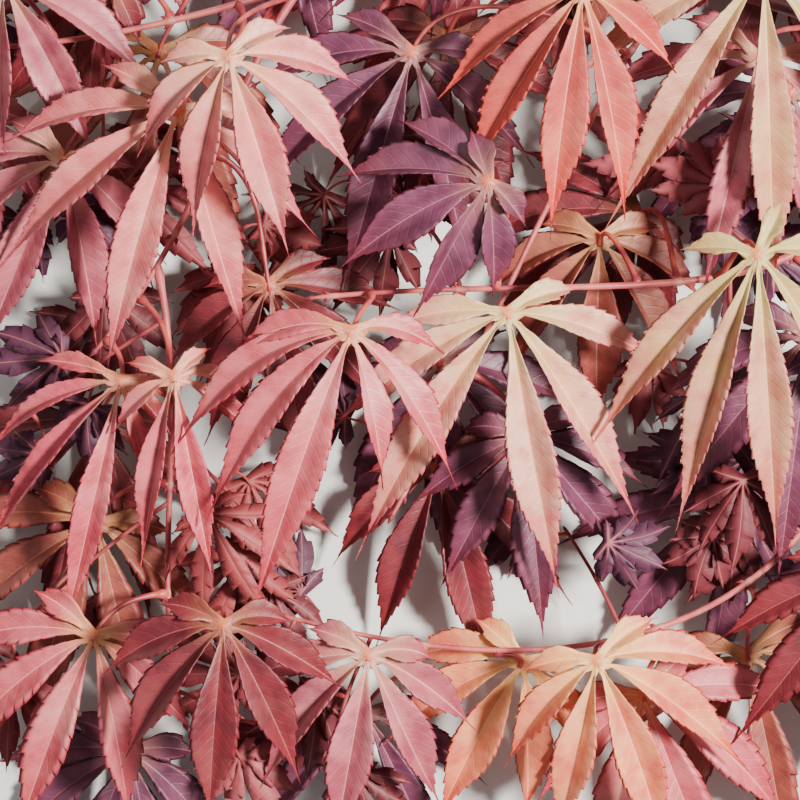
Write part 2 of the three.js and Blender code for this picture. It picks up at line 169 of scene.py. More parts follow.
class Course:
    """A smooth bend through the air by four points, walked from 0 at its start to 1 at its end."""

    def __init__(self, points):
        self.points = np.array(points, float)

    def place(self, share):
        a, b, c, d = self.points
        share = np.asarray(share, float)[..., None]
        rest = 1 - share
        return rest**3 * a + 3 * rest**2 * share * b + 3 * rest * share**2 * c + share**3 * d

    def heading(self, share):
        a, b, c, d = self.points
        share = np.asarray(share, float)[..., None]
        rest = 1 - share
        way = rest**2 * (b - a) + 2 * rest * share * (c - b) + share**2 * (d - c)
        return way / np.linalg.norm(way, axis=-1, keepdims=True)

    def length(self):
        steps = np.diff(self.place(np.linspace(0, 1, LENGTH_STEPS)), axis=0)
        return np.linalg.norm(steps, axis=1).sum()

    def blended(self, *shares):
        level = self.points
        for share in shares:
            level = between(level[:-1], level[1:], share)
        return level[0]

    def rooted(self, depth):
        """The same bend, begun this much sooner, inside what it grows on."""
        back = -depth / (3 * np.linalg.norm(self.points[1] - self.points[0]))
        ends = [(back, back, back), (back, back, 1), (back, 1, 1), (1, 1, 1)]
        return Course([self.blended(*shares) for shares in ends])


def between(low, high, share):
    return low + (high - low) * share


def hump(distance, width):
    return np.exp(-((distance / width) ** 2))


def seat_on(limb, at, towards, radius):
    """Where a stalk or shoot that heads for a point starts, just clear of the limb it grows on."""
    root = limb["course"].place(at)
    away = towards - root
    away /= np.linalg.norm(away)
    lean = abs(away @ limb["course"].heading(at))
    thickness = between(*limb["radii"], at)
    return root + away * (thickness + SEAT_GAP + radius * lean) / math.sqrt(1 - lean**2)


def ring_frames(course, shares):
    """The directions across and over a bend at each share."""
    chord = course.points[3] - course.points[0]
    level = np.cross(UP, chord)
    along = course.heading(shares)
    over = np.cross(along, level)
    over /= np.linalg.norm(over, axis=1, keepdims=True)
    return np.cross(over, along), over


class Socket:
    """A value, colour or vector in a material. Arithmetic on values adds the nodes that do it."""

    def __init__(self, tree, output=None):
        self.tree = tree
        self.output = output

    def node(self, kind, settings, sockets, output=0):
        made = self.tree.nodes.new(kind)
        for name, value in settings.items():
            setattr(made, name, value)
        for name, value in sockets.items():
            if isinstance(value, Socket):
                self.tree.links.new(value.output, made.inputs[name])
            else:
                made.inputs[name].default_value = value
        return Socket(self.tree, made.outputs[output])

    def math(self, operation, first, second=0.0):
        return self.node("ShaderNodeMath", {"operation": operation}, {0: first, 1: second})

    def __add__(self, other):
        return self.math("ADD", self, other)

    __radd__ = __add__

    def __sub__(self, other):
        return self.math("SUBTRACT", self, other)

    def __rsub__(self, other):
        return self.math("SUBTRACT", other, self)

    def __mul__(self, other):
        return self.math("MULTIPLY", self, other)

    __rmul__ = __mul__

    def __abs__(self):
        return self.math("ABSOLUTE", self)

    def rise(self, start, end):
        """A soft step from 0 at the start to 1 at the end, or down where the end is lower."""
        low, high = min(start, end), max(start, end)
        sockets = {
            "Value": self,
            "From Min": low,
            "From Max": high,
            "To Min": float(start > end),
            "To Max": float(start < end),
        }
        return self.node("ShaderNodeMapRange", {"interpolation_type": "SMOOTHSTEP"}, sockets)

    def blend(self, first, second):
        """One colour where this value is 0 and the other where it is 1."""
        ends = [c if isinstance(c, Socket) else (*c, 1) for c in (first, second)]
        sockets = {0: self, 6: ends[0], 7: ends[1]}
        return self.node("ShaderNodeMix", {"data_type": "RGBA"}, sockets, output=2)

    def axis(self, number):
        return self.node("ShaderNodeSeparateXYZ", {}, {0: self}, output=number)

    def place(self):
        """Where a point lies on the piece, in metres."""
        return self.node("ShaderNodeTexCoord", {}, {}, output="Object")

    def noise(self, place, scale, detail):
        sockets = {"Vector": place, "Scale": scale, "Detail": detail}
        return self.node("ShaderNodeTexNoise", {}, sockets)

    def bump(self, height, strength, distance):
        sockets = {"Height": height, "Strength": strength, "Distance": distance}
        return self.node("ShaderNodeBump", {}, sockets)


def start_finish(name):
    """A new material: the start of its nodes and the shader that its colours go to."""
    finish = bpy.data.materials.new(name)
    finish.use_nodes = True
    return finish, Socket(finish.node_tree), finish.node_tree.nodes["Principled BSDF"]


def wire(start, shader, **links):
    for name, value in links.items():
        socket = shader.inputs[name.replace("_", " ").title()]
        if isinstance(value, Socket):
            start.tree.links.new(value.output, socket)
        else:
            socket.default_value = value


def bark_finish(name, lit, painted_shade, scar):
    """Smooth young bark in clouds of a lit and a shaded colour, painted light and painted shade,
    with pale pores and dull rings at joints.
    """
    finish, start, shader = start_finish(name)
    place = start.place()
    joint = start.node("ShaderNodeAttribute", {"attribute_name": "joint"}, {}, output="Fac")
    clouds = start.noise(place, 90, 4)
    grain = start.noise(place, 1400, 3)
    sockets = {"Vector": place, "Scale": 650}
    pore = start.node("ShaderNodeTexVoronoi", {}, sockets, output="Distance").rise(0.16, 0.06)
    # The lit and the shaded colour of the bark, painted light and painted shade, laid in random
    # clouds
    colour = clouds.rise(0.38, 0.64).blend(lit, painted_shade)
    colour = (pore * 0.45).blend(colour, scar)
    colour = (joint.rise(0.25, 0.9) * 0.6).blend(colour, scar)
    bump = start.bump(grain * 0.4 + pore * 0.6, 0.5, 0.0002)
    wire(start, shader, base_color=colour, roughness=0.38 + grain * 0.2, normal=bump)
    return finish


def limb_tube(name, limb):
    """A bent line with the limb's thickness, made a mesh, with its joints and ridges raised."""
    bpy.ops.curve.primitive_bezier_curve_add()
    line = bpy.context.object
    line.name = name
    ends = line.data.splines[0].bezier_points
    for end in ends:
        end.handle_left_type = end.handle_right_type = "FREE"
    course = limb["course"].rooted(limb["sunk"])
    first, second, third, last = (course.points - MIDDLE) * METRE
    ends[0].co, ends[0].handle_right, ends[0].handle_left = first, second, 2 * first - second
    ends[1].co, ends[1].handle_left, ends[1].handle_right = last, third, 2 * last - third
    ends[0].radius, ends[1].radius = limb["radii"]
    line.data.bevel_depth = METRE
    line.data.bevel_resolution = LIMB_ROUNDNESS
    line.data.resolution_u = LIMB_STEPS
    line.data.use_fill_caps = True
    bpy.ops.object.convert(target="MESH")
    tube = bpy.context.object

    mesh = tube.data
    places = np.zeros(len(mesh.vertices) * 3, np.float32)
    mesh.vertices.foreach_get("co", places)
    places = places.reshape(-1, 3) / METRE + MIDDLE
    shares = np.linspace(0, 1, LIMB_STEPS + 1)
    middles = course.place(shares)
    nearest = np.array([((middles - p) ** 2).sum(1).argmin() for p in places])
    across, over = ring_frames(course, shares)
    away = places - middles[nearest]
    angle = np.arctan2((away * over[nearest]).sum(1), (away * across[nearest]).sum(1))
    along = shares[nearest] * course.length() - limb["sunk"]
    joint = np.zeros(len(places))
    for pair in limb["pairs"]:
        joint = np.maximum(joint, hump(along - pair * limb["course"].length(), JOINT_LENGTH))
    swelling = 1 + JOINT_SWELLING * joint - SCAR_DEPTH * hump(joint - SCAR_LEVEL, SCAR_WIDTH)
    if "parent" in limb:
        swelling += COLLAR_SWELLING * hump(along, COLLAR_LENGTH)
        swelling -= SHOOT_TIP_NARROWING * hump(along.max() - along, SHOOT_TIP_LENGTH)
    ridge = np.sin(RIDGES * angle + along / RIDGE_TWIST) * np.sin(along / RIDGE_LENGTH)
    fine_ridge = np.sin(FINE_RIDGES * angle - along / FINE_RIDGE_TWIST)
    swelling += RIDGE_DEPTH * (ridge + FINE_RIDGE_SHARE * fine_ridge)
    places = middles[nearest] + away * swelling[:, None]
    mesh.vertices.foreach_set("co", ((places - MIDDLE) * METRE).astype(np.float32).ravel())
    layer = mesh.attributes.new("joint", "FLOAT", "POINT")
    layer.data.foreach_set("value", joint.astype(np.float32))
    bpy.ops.object.shade_smooth_by_angle(angle=math.radians(EDGE_ANGLE))
    tube.select_set(False)
    return tube


def wood_finish(middle):
    """Fresh pale wood round the pith at a point, in faint rings, with green under the bark."""
    finish, start, shader = start_finish("cut_wood")
    place = start.place()
    sockets = {0: place, 1: middle}
    radius = start.node("ShaderNodeVectorMath", {"operation": "DISTANCE"}, sockets, output=1)
    grain = start.noise(place, 2600, 3)
    ring = start.math("SINE", radius * RING_TURNS + grain * 3)
    colour = ring.rise(-0.2, 0.9).blend((0.6, 0.43, 0.24), (0.48, 0.31, 0.16))
    colour = radius.rise(*PITH_RADII).blend(colour, (0.24, 0.12, 0.06))
    colour = radius.rise(*GREEN_RADII).blend(colour, (0.34, 0.36, 0.12))
    bump = start.bump(ring * 0.3 + grain, 0.5, 0.0001)
    wire(start, shader, base_color=colour, roughness=0.6 + grain * 0.2, normal=bump)
    return finish


def open_cut(stem, middle):
    """The clean cut at the foot of the stem: a rim of bark, with the wood sunk in by a hair."""
    bpy.ops.object.mode_set(mode="EDIT")
    bpy.ops.mesh.select_mode(type="FACE")
    bpy.ops.mesh.select_all(action="DESELECT")
    bpy.ops.object.mode_set(mode="OBJECT")
    foot = min(stem.data.polygons, key=lambda face: (face.center - middle).length)
    foot.select = True
    bpy.ops.object.mode_set(mode="EDIT")
    bpy.ops.mesh.inset(thickness=BARK_THICKNESS * METRE, depth=-WOOD_DEPTH * METRE)
    bpy.ops.object.mode_set(mode="OBJECT")
    stem.data.materials.append(wood_finish(middle))
    for face in stem.data.polygons:
        if face.select:
            face.material_index = 1
            face.use_smooth = False


# The wood's rings and edges are in metres, as its material reads them
RING_TURNS = 14000
PITH_RADII = (0.00055, 0.0003)
GREEN_RADII = (0.0018, 0.0022)
BARK_THICKNESS = 0.32
WOOD_DEPTH = 0.06
# Each bark's colour as it looks lit and in painted shade, then the colour of its scars
STEM_BARK = bark_finish("stem_bark", (0.20, 0.045, 0.05), (0.085, 0.022, 0.028), (0.26, 0.15, 0.12))
SHOOT_BARK = bark_finish("shoot_bark", (0.62, 0.13, 0.12), (0.36, 0.05, 0.06), (0.6, 0.28, 0.22))

for name, limb in LIMBS.items():
    if "parent" in limb:
        parent = LIMBS[limb["parent"]]
        seat = seat_on(parent, limb["at"], np.array(limb["bend"][0], float), limb["radii"][0])
        limb["course"] = Course([seat, *limb["bend"]])
        limb["sunk"] = np.linalg.norm(seat - parent["course"].place(limb["at"]))
    else:
        limb["course"] = Course(limb["bend"])
        limb["sunk"] = 0
    tube = limb_tube(f"bark_{name}", limb)
    tube.data.materials.append(SHOOT_BARK if "parent" in limb else STEM_BARK)
    if "parent" not in limb:
        tube.select_set(True)
        open_cut(tube, Vector((limb["course"].points[0] - MIDDLE) * METRE))
        tube.select_set(False)
    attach(tube, "root")
    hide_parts(name)
    "shoot" if "parent" in limb else "bark"

# Leaves on top
# Each is one thin blade cut nearly to its hub into seven toothed lobes, folded up along their
# raised midribs. Its red stalk leaves the shoot at a joint and meets the hub from behind.

LEAF_LENGTH = 71
LOBE_TURNS = [-102, -65, -32, 0, 32, 65, 102]
LOBE_REACHES = [0.34, 0.66, 0.88, 1, 0.88, 0.66, 0.34]
LOBE_COUNT = len(LOBE_TURNS)
LOBE_WIDTH = 14
NARROWEST = 0.42
WIDEST_AT = 0.56
SWELL_POWER = 1.25
ROOT_HALF_WIDTH = 0.9
NOTCH_RADIUS = 3.4
BACK_NOTCH_RADIUS = 1.6
FOLD = 40
FULLNESS = 1.14
TIP_FROM = 0.72
TIP_SPAN = 0.28
TIP_SLIMMING = 0.25
TAIL_SHARE = 0.075
TAIL_FROM = 0.8
TAIL_HALF_WIDTH = 1.5
TAIL_POWER = 1.3
ARCH = 0.16
PITCH = 0.06
DROOP = 0.0022
WING_SHARE = 0.4
FULL_WING_TURN = 25
BREADTHS = (0.94, 1.06)
TOP_BLADE_SEED = 500


def top_leaf(limb, at, hub, aim, length, wings, look, **own_shape):
    """A leaf by the place of its hub in the view, the way and length of its middle lobe, and how
    far its two sides hang. Where the photo shows its lobes well, it has a shape of its own."""
    leaf = {"turns": LOBE_TURNS, "reaches": LOBE_REACHES, "fold": FOLD, "fullness": FULLNESS}
    leaf |= {"carrier": LIMBS[limb], "at": at, "hub": np.array([*hub, 0.0]), "look": look}
    leaf |= {"aim": aim, "length": length, "wings": wings, "slimness": 1}
    return leaf | own_shape


TOP_LEAVES = [
    top_leaf(
        "shoot_middle", 0.94, (-12, 17), aim=-109, length=71.5, wings=(26, 32), look="dusty_rose",
        turns=[-59, -40, -21, 0, 33, 55, 96], reaches=[0.4, 0.71, 0.79, 1, 0.52, 0.61, 0.3],
        arch=0.3, fold=33,
    ),
    top_leaf(
        "shoot_middle", 0.74, (27, 22), aim=-80, length=70, wings=(12, 26), look="cream_rose",
        turns=[-92, -66, -43, 0, 23, 62, 98], reaches=[0.4, 0.7, 0.98, 1, 0.84, 0.55, 0.26],
        fullness=1.24,
    ),
    top_leaf(
        "shoot_middle", 0.5, (88, 36), aim=-85, length=70, wings=(34, 22), look="green_cream",
        turns=[-96, -45, -20, 0, 29, 82, 142], reaches=[0.24, 0.82, 0.95, 1, 0.74, 0.34, 0.2],
    ),
    top_leaf(
        "shoot_top_right", 0.84, (45, 101), aim=-99, length=57, wings=(40, 20), look="coral",
        turns=[-84, -46, -22, 0, 23, 62, 104], reaches=[0.4, 0.7, 0.9, 1, 0.93, 0.5, 0.32],
    ),
    top_leaf("shoot_top_right", 0.36, (90, 107), -87, 78, (16, 22), "green_cream"),
    top_leaf(
        "shoot_left", 0.97, (-71, 5), aim=-103, length=64, wings=(36, 30), look="strawberry",
        turns=[-88, -54, -26, 0, 25, 54, 88], reaches=[0.34, 0.6, 0.86, 1, 0.4, 0.28, 0.2],
        slimness=0.8, fold=42,
    ),
    top_leaf(
        "shoot_left", 0.86, (-57, 6), aim=-80, length=50, wings=(40, 36), look="strawberry",
        turns=[-112, -60, -21, 0, 42, 74, 118], reaches=[0.24, 0.4, 0.92, 1, 0.52, 0.34, 0.22],
        slimness=0.76, fold=42,
    ),
    top_leaf("shoot_top_left", 0.3, (-55, 72), -108, 64, (30, 36), "pale_pink"),
    top_leaf("shoot_top_left", 0.12, (-42, 84), -73, 47, (30, 24), "pale_pink"),
    top_leaf("shoot_top_left", 0.84, (-100, 105), -62, 46, (24, 24), "mauve"),
    top_leaf("shoot_low", 0.74, (50, -66), -68, 52, (26, 26), "apricot"),
    top_leaf("shoot_low", 0.84, (32, -68), -118, 46, (26, 26), "apricot"),
    top_leaf("shoot_low", 0.96, (-8, -65), -100, 48, (26, 26), "mauve"),
    # The leaves with plum and maroon looks lie lower, and their dark looks paint the shade they lie
    # in
    top_leaf("shoot_back", 0.2, (3, 89), -106, 60, (22, 22), "plum"),
    top_leaf("shoot_middle", 0.62, (52, 42), -92, 46, (34, 34), "russet"),
    top_leaf("shoot_top_left", 0.66, (-86, 62), -112, 52, (28, 28), "mauve"),
    top_leaf("shoot_middle", 0.8, (22, 54), -150, 40, (34, 34), "plum"),
    top_leaf("shoot_low_left", 0.8, (-44, -56), -96, 48, (26, 26), "maroon"),
    top_leaf("shoot_back", 0.9, (10, -18), -76, 54, (24, 24), "maroon"),
    top_leaf("shoot_top_left", 0.97, (-112, 76), -118, 50, (26, 26), "mauve"),
    top_leaf("shoot_left", 0.5, (-34, 30), -78, 48, (24, 24), "maroon"),
]

# How fine the blade is made: its teeth, its columns from edge to edge as shares of a lobe's half
# width, its folds and waves, and the thickness of blade and midrib
TOOTH_PITCH = 2.5
TOOTH_DEPTH = 0.8
TOOTH_ROWS = 4
TOOTH_PROFILE = np.array([0.0, 0.42, 0.8, 1.0])
TOOTH_LEAN = np.array([0.0, 0.15, 0.5, 1.25])
TOOTH_SIZES = (0.62, 1.12)
SECOND_TOOTH_SIZE = 0.66
LEAST_TEETH = 3
LEAST_TOOTH_SHARE = 0.35
MOST_TOOTH_SHARE = 0.24
MOST_CUT_SHARE = 0.4
TEETH_FROM = 0.14
TEETH_SPAN = 0.24
TIP_TEETH_FROM = 0.8
TIP_TEETH_SPAN = 0.2
TIP_TEETH_LOSS = 0.4
LEAN_FROM = 0.1
LEAN_SPAN = 0.1
RIB_HALF_WIDTH = 0.24
RIB_RISE = 0.17
BACK_RIB_SHARE = 1.8
LEAST_RIB_SHARE = 0.4
MOST_RIB_SIDE = 0.3
HALF_THICKNESS = 0.13
EDGE_THINNING = 0.35
EDGE_POWER = 6
HUB_HALF_THICKNESS = 0.7
HUB_POWER = 1.5
HUB_ROWS = 3
WEB_SHARE = 1.35
WEB_RIB_SIDE = 0.25
FOLD_AT_HUB = 1.12
FOLD_LOSS = 0.3
LOBE_TWIST = 9
MARGIN_WAVE = 0.4
WAVE_LENGTH = 4.2
RIPPLE = 0.13
RIPPLE_LENGTH = 1.4
QUILT = 0.1
TIP_HOOK = 2.4
TIP_DIP = 0.9
FLOOR_PLAY = 0.45
MERGE_DISTANCE = 0.003
TIP_PLAY = 0.05

# The stalk, and where a leaf's lobes and stalk lie on the flat map for baking: eight
# upright strips, seven of them with a lobe's face below and its back above
STALK_RADII = (0.95, 0.62)
STALK_SLIMNESS = 0.88
STALK_LIFT_OFF = 0.4
STALK_RUN_IN = 0.35
STALK_DIP = 0.4
STALK_ROOTING = 0.9
STALK_SUNK = 1.8
STALK_SIDES = 10
STALK_STEPS = 36
FOOT_SWELLING = 0.55
FOOT_AT = 1.6
FOOT_LENGTH = 1.5
HEAD_SWELLING = 0.22
HEAD_LENGTH = 1.4
BAKE_STRIPS = 8
LOBE_BAKE_WIDTH = 2.2
LOBE_BAKE_FROM = 0.012
LOBE_BAKE_SPAN = 0.43
STALK_BAKE_LEFT = 7.06
STALK_BAKE_WIDTH = 0.88
STALK_BAKE_FROM = 0.02
STALK_BAKE_SPAN = 0.94

SEED_FACTOR = 2654435761
STREAM_FACTOR = 1664525
STREAM_STEP = 1013904223


def seeded(seed):
    """The same stream of numbers for the same seed, each from 0 to 1."""
    state = (seed * SEED_FACTOR) % 2**32
    while True:
        state = (state * STREAM_FACTOR + STREAM_STEP) % 2**32
        yield state / 2**32


def drawn(stream, low, high):
    return between(low, high, next(stream))


def heading(degrees):
    return np.array([math.cos(math.radians(degrees)), math.sin(math.radians(degrees)), 0.0])


def lobes_of(leaf):
    """The seven lobes of a leaf: the heading, reach, width and roll of each."""
    lobes = []
    for turn, reach in zip(leaf["turns"], leaf["reaches"]):
        wing = leaf["wings"][0 if turn < 0 else 1]
        share = min(abs(turn) / FULL_WING_TURN, 1) * math.cos(math.radians(turn / 2))
        width = LOBE_WIDTH * (NARROWEST + (1 - NARROWEST) * reach) * leaf["breadth"]
        lobes.append(
            {
                "course": leaf["aim"] + turn,
                "reach": leaf["length"] * reach,
                "half_width": width / 2,
                "roll": math.copysign(math.radians(wing * share), turn) if turn else 0.0,
            }
        )
    return lobes


def fall_at(leaf, place):
    """How far the blade lies below its hub, at places given from the hub in plan."""
    ahead = place @ heading(leaf["aim"])
    aside = place @ heading(leaf["aim"] + 90)
    wings = np.tan(np.radians(leaf["wings"]))
    wing_fall = WING_SHARE * np.where(aside < 0, *wings) * abs(aside)
    return PITCH * ahead + wing_fall + DROOP * (place[..., :2] ** 2).sum(-1)


def lobe_frames(leaf, lobe, share, twist=0.0):
    """A lobe's middle line, with the directions along, across and out of its face."""
    course = heading(lobe["course"])
    arch = leaf.get("arch", ARCH) * lobe["reach"] * abs(course[0])
    place = course * lobe["reach"] * share[:, None]
    place[:, 1] += arch * 2 * share * (1 - share)
    along = np.tile(course * lobe["reach"], (len(share), 1))
    along[:, 1] += arch * (2 - 4 * share)
    along /= np.linalg.norm(along, axis=1, keepdims=True)
    roll = (lobe["roll"] + twist * np.ones(len(share)))[:, None]
    level = np.cross(UP, along)
    across = level * np.cos(roll) - UP * np.sin(roll)
    out = level * np.sin(roll) + UP * np.cos(roll)
    middle = leaf["hub"] + place - UP * fall_at(leaf, place)[:, None]
    return middle, along, across, out


def climb(value, start, span):
    """From 0 where a value starts to 1 where it is a span further on."""
    return np.clip((value - start) / span, 0, 1)


def half_width_at(lobe, share):
    swell = np.sin(math.pi * np.clip(share, 0, 1) ** (math.log(0.5) / math.log(WIDEST_AT)))
    half = lobe["half_width"] * np.clip(swell, 0, 1) ** SWELL_POWER
    half = half * (1 - TIP_SLIMMING * climb(share, TIP_FROM, TIP_SPAN))
    end = 1 + TAIL_SHARE
    tail = np.clip((end - share) / (end - TAIL_FROM), 0, 1) ** TAIL_POWER
    tail = tail * TAIL_HALF_WIDTH * lobe["half_width"] * 2 / LOBE_WIDTH
    half = np.where(share > TAIL_FROM, np.maximum(half, tail), half)
    return np.maximum(half, np.where(share < 0.5, ROOT_HALF_WIDTH, 0))


def notch_after(lobes, index):
    """The web's edge between a lobe and the next, in plan from the hub."""
    gap = (lobes[(index + 1) % LOBE_COUNT]["course"] - lobes[index]["course"]) % 360
    radius = BACK_NOTCH_RADIUS if index == LOBE_COUNT - 1 else NOTCH_RADIUS
    return heading(lobes[index]["course"] + gap / 2) * radius


def stalk_course(leaf):
    """A stalk leaves its limb square, and comes to the hub from behind the middle lobe."""
    limb = leaf["carrier"]
    root = limb["course"].place(leaf["at"])
    along = limb["course"].heading(leaf["at"])
    hub = leaf["hub"]
    away = hub - root
    reach = np.linalg.norm(away)
    away = away - along * (away @ along)
    first = root + away / np.linalg.norm(away) * STALK_LIFT_OFF * reach
    start = seat_on(limb, leaf["at"], first, STALK_RADII[0])
    last = hub - heading(leaf["aim"]) * STALK_RUN_IN * reach
    last[2] += STALK_DIP * (root[2] - hub[2])
    course = Course([start, first, last, hub + heading(leaf["aim"]) * STALK_SUNK])
    return course.rooted(STALK_ROOTING * np.linalg.norm(start - root))


class Skin:
    """The points and four-sided faces of one leaf, with where each corner lies on its lobe."""

    def __init__(self):
        self.points = []
        self.faces = []
        self.kinds = []
        self.lobe_places = []
        self.outline_places = []
        self.flat_places = []
        self.count = 0

    def add_grid(self, grid, kind, lobe_place, outline_place, flat_place, flipped=False):
        rows, columns = grid.shape[:2]
        numbers = self.count + np.arange(rows * columns).reshape(rows, columns)
        corners = [numbers[:-1, :-1], numbers[1:, :-1], numbers[1:, 1:], numbers[:-1, 1:]]
        if flipped:
            corners.reverse()
        faces = np.stack(corners, -1).reshape(-1, 4)
        self.points.append(grid.reshape(-1, 3))
        self.faces.append(faces)
        self.kinds.append(np.broadcast_to(kind, (rows - 1, columns - 1)).ravel())
        self.lobe_places.append(lobe_place.reshape(-1, 2))
        self.outline_places.append(outline_place.reshape(-1, 2))
        self.flat_places.append(flat_place.reshape(-1, 2))
        self.count += rows * columns

    def places(self):
        return np.concatenate(self.points)

    def object(self, name, own_bake=True):
        """The leaf as an object whose grids are joined where their points meet."""
        mesh = bpy.data.meshes.new(name)
        points = (self.places() - MIDDLE) * METRE
        faces = np.concatenate(self.faces)
        mesh.vertices.add(len(points))
        mesh.vertices.foreach_set("co", points.astype(np.float32).ravel())
        mesh.loops.add(faces.size)
        mesh.loops.foreach_set("vertex_index", faces.ravel().astype(np.int32))
        mesh.polygons.add(len(faces))
        mesh.polygons.foreach_set("loop_start", np.arange(0, faces.size, 4, dtype=np.int32))
        mesh.polygons.foreach_set("material_index", np.concatenate(self.kinds).astype(np.int32))
        layers = {
            "lobe": self.lobe_places,
            "outline": self.outline_places,
            "OFBake": self.flat_places,
        }
        for layer_name, places in layers.items() if own_bake else ():
            layer = mesh.uv_layers.new(name=layer_name)
            corners = np.concatenate(places)[faces.ravel()]
            layer.uv.foreach_set("vector", corners.astype(np.float32).ravel())
        mesh.update(calc_edges=True)
        whole = bmesh.new()
        whole.from_mesh(mesh)
        bmesh.ops.remove_doubles(whole, verts=whole.verts, dist=MERGE_DISTANCE * METRE)
        whole.to_mesh(mesh)
        whole.free()
        mesh.polygons.foreach_set("use_smooth", np.ones(len(mesh.polygons), bool))
        blade = bpy.data.objects.new(name, mesh)
        bpy.context.collection.objects.link(blade)
        return blade


def share_by_length(leaf, least):
    """What share of a full size leaf's measure a leaf has, from the least for a tiny one on."""
    return least + (1 - least) * leaf["length"] / LEAF_LENGTH


def web_rows(inner, outer):
    """Rows from the hub out through the web, up to the row that comes after them."""
    return [between(inner, outer, row / HUB_ROWS) for row in range(HUB_ROWS)]


def lobe_grid(leaf, lobe, index, columns, pitch, stream):
    """Rows of places across one lobe from its hub to its tip, before it has a thickness."""
    start = WEB_SHARE * NOTCH_RADIUS / lobe["reach"]
    teeth = max(round(lobe["reach"] * (1 - start) / pitch), LEAST_TEETH)
    rows = teeth * TOOTH_ROWS
    share = start + (1 + TAIL_SHARE - start) * np.linspace(0, 1, rows + 1)
    far = share * lobe["reach"]
    hook = drawn(stream, -1, 1) * TIP_HOOK
    twist = math.radians(drawn(stream, -LOBE_TWIST, LOBE_TWIST)) * np.sin(math.pi * share)
    wave = drawn(stream, 0, 2 * math.pi)
    middle, along, across, out = lobe_frames(leaf, lobe, share, twist)
    half = half_width_at(lobe, share) * leaf["fullness"]
    fold = (math.radians(leaf["fold"]) * (FOLD_AT_HUB - FOLD_LOSS * share))[:, None]

    centre = len(columns)
    sides = np.array([-side for side in columns[::-1]] + [0.0] + columns)
    side = np.tile(sides, (rows + 1, 1))
    rib_width = RIB_HALF_WIDTH * share_by_length(leaf, LEAST_RIB_SHARE)
    rib = np.minimum(rib_width / np.maximum(half, rib_width), MOST_RIB_SIDE)
    side[:, centre - 1] = -rib
    side[:, centre + 1] = rib
    distance = side * half[:, None]
    lean = np.zeros_like(side)
    most = TOOTH_DEPTH * share_by_length(leaf, LEAST_TOOTH_SHARE)
    depth = np.minimum(MOST_TOOTH_SHARE * half, most) * climb(share, TEETH_FROM, TEETH_SPAN)
    depth *= 1 - TIP_TEETH_LOSS * climb(share, TIP_TEETH_FROM, TIP_TEETH_SPAN)
    step = lobe["reach"] * (1 - start) / rows * climb(share, LEAN_FROM, LEAN_SPAN)
    for edge, phase in ((0, 0), (-1, TOOTH_ROWS // 2)):
        number = np.arange(rows + 1) + phase
        size = np.array([drawn(stream, *TOOTH_SIZES) for _ in range(teeth + 2)])
        size[1::2] *= SECOND_TOOTH_SIZE
        tooth = size[number // TOOTH_ROWS] * TOOTH_PROFILE[number % TOOTH_ROWS]
        cut = np.minimum(depth * (1 - tooth), MOST_CUT_SHARE * half)
        distance[:, edge] -= np.sign(sides[edge]) * cut
        lean[:, edge] = TOOTH_LEAN[number % TOOTH_ROWS] * step
    lean[-1] = 0

    waves = MARGIN_WAVE * np.sin(far / WAVE_LENGTH + wave)
    waves += RIPPLE * np.sin(far / RIPPLE_LENGTH + 2 * wave)
    waves = waves[:, None] * side**2 * np.sign(side) * min(leaf["length"] / LEAF_LENGTH, 1)
    quilt = QUILT * np.sin(math.pi * abs(side)) * half[:, None]
    lift = abs(distance) * np.sin(fold) + quilt + waves
    grid = middle[:, None] + across[:, None] * (distance * np.cos(fold))[..., None]
    grid += out[:, None] * lift[..., None] + along[:, None] * lean[..., None]
    grid += (across * (hook * share**3)[:, None])[:, None]
    grid[..., 2] -= (TIP_DIP * share**4)[:, None] * abs(hook)

    spread = abs(sides)
    spread[[centre - 1, centre + 1]] = WEB_RIB_SIDE
    after = notch_after(leaf["lobes"], index)
    before = notch_after(leaf["lobes"], (index - 1) % LOBE_COUNT)
    fan = np.where(sides[:, None] > 0, after, before) * spread[:, None]
    fan_places = leaf["hub"] + fan - UP * fall_at(leaf, fan)[:, None]
    fan_along = fan @ heading(lobe["course"])
    fan_across = fan @ heading(lobe["course"] + 90)
    whole = np.concatenate([web_rows(fan_places, grid[0]), grid])
    whole[..., 2] = np.maximum(whole[..., 2], FLOOR_PLAY)
    across_place = np.concatenate([web_rows(fan_across, distance[0]), distance])
    along_place = np.concatenate([web_rows(fan_along, far[0]), far[:, None] + lean])
    side_place = np.concatenate([np.tile(np.sign(sides) * spread, (HUB_ROWS, 1)), side])
    return {
        "grid": whole,
        "up": np.concatenate([np.tile(UP, (HUB_ROWS, 1)), out]),
        "hub_share": np.concatenate([1 - np.arange(HUB_ROWS) / HUB_ROWS, 0 * share]),
        "side": side_place,
        "lobe": np.stack([across_place, along_place], -1),
        "outline": np.stack([side_place, along_place / lobe["reach"]], -1),
    }


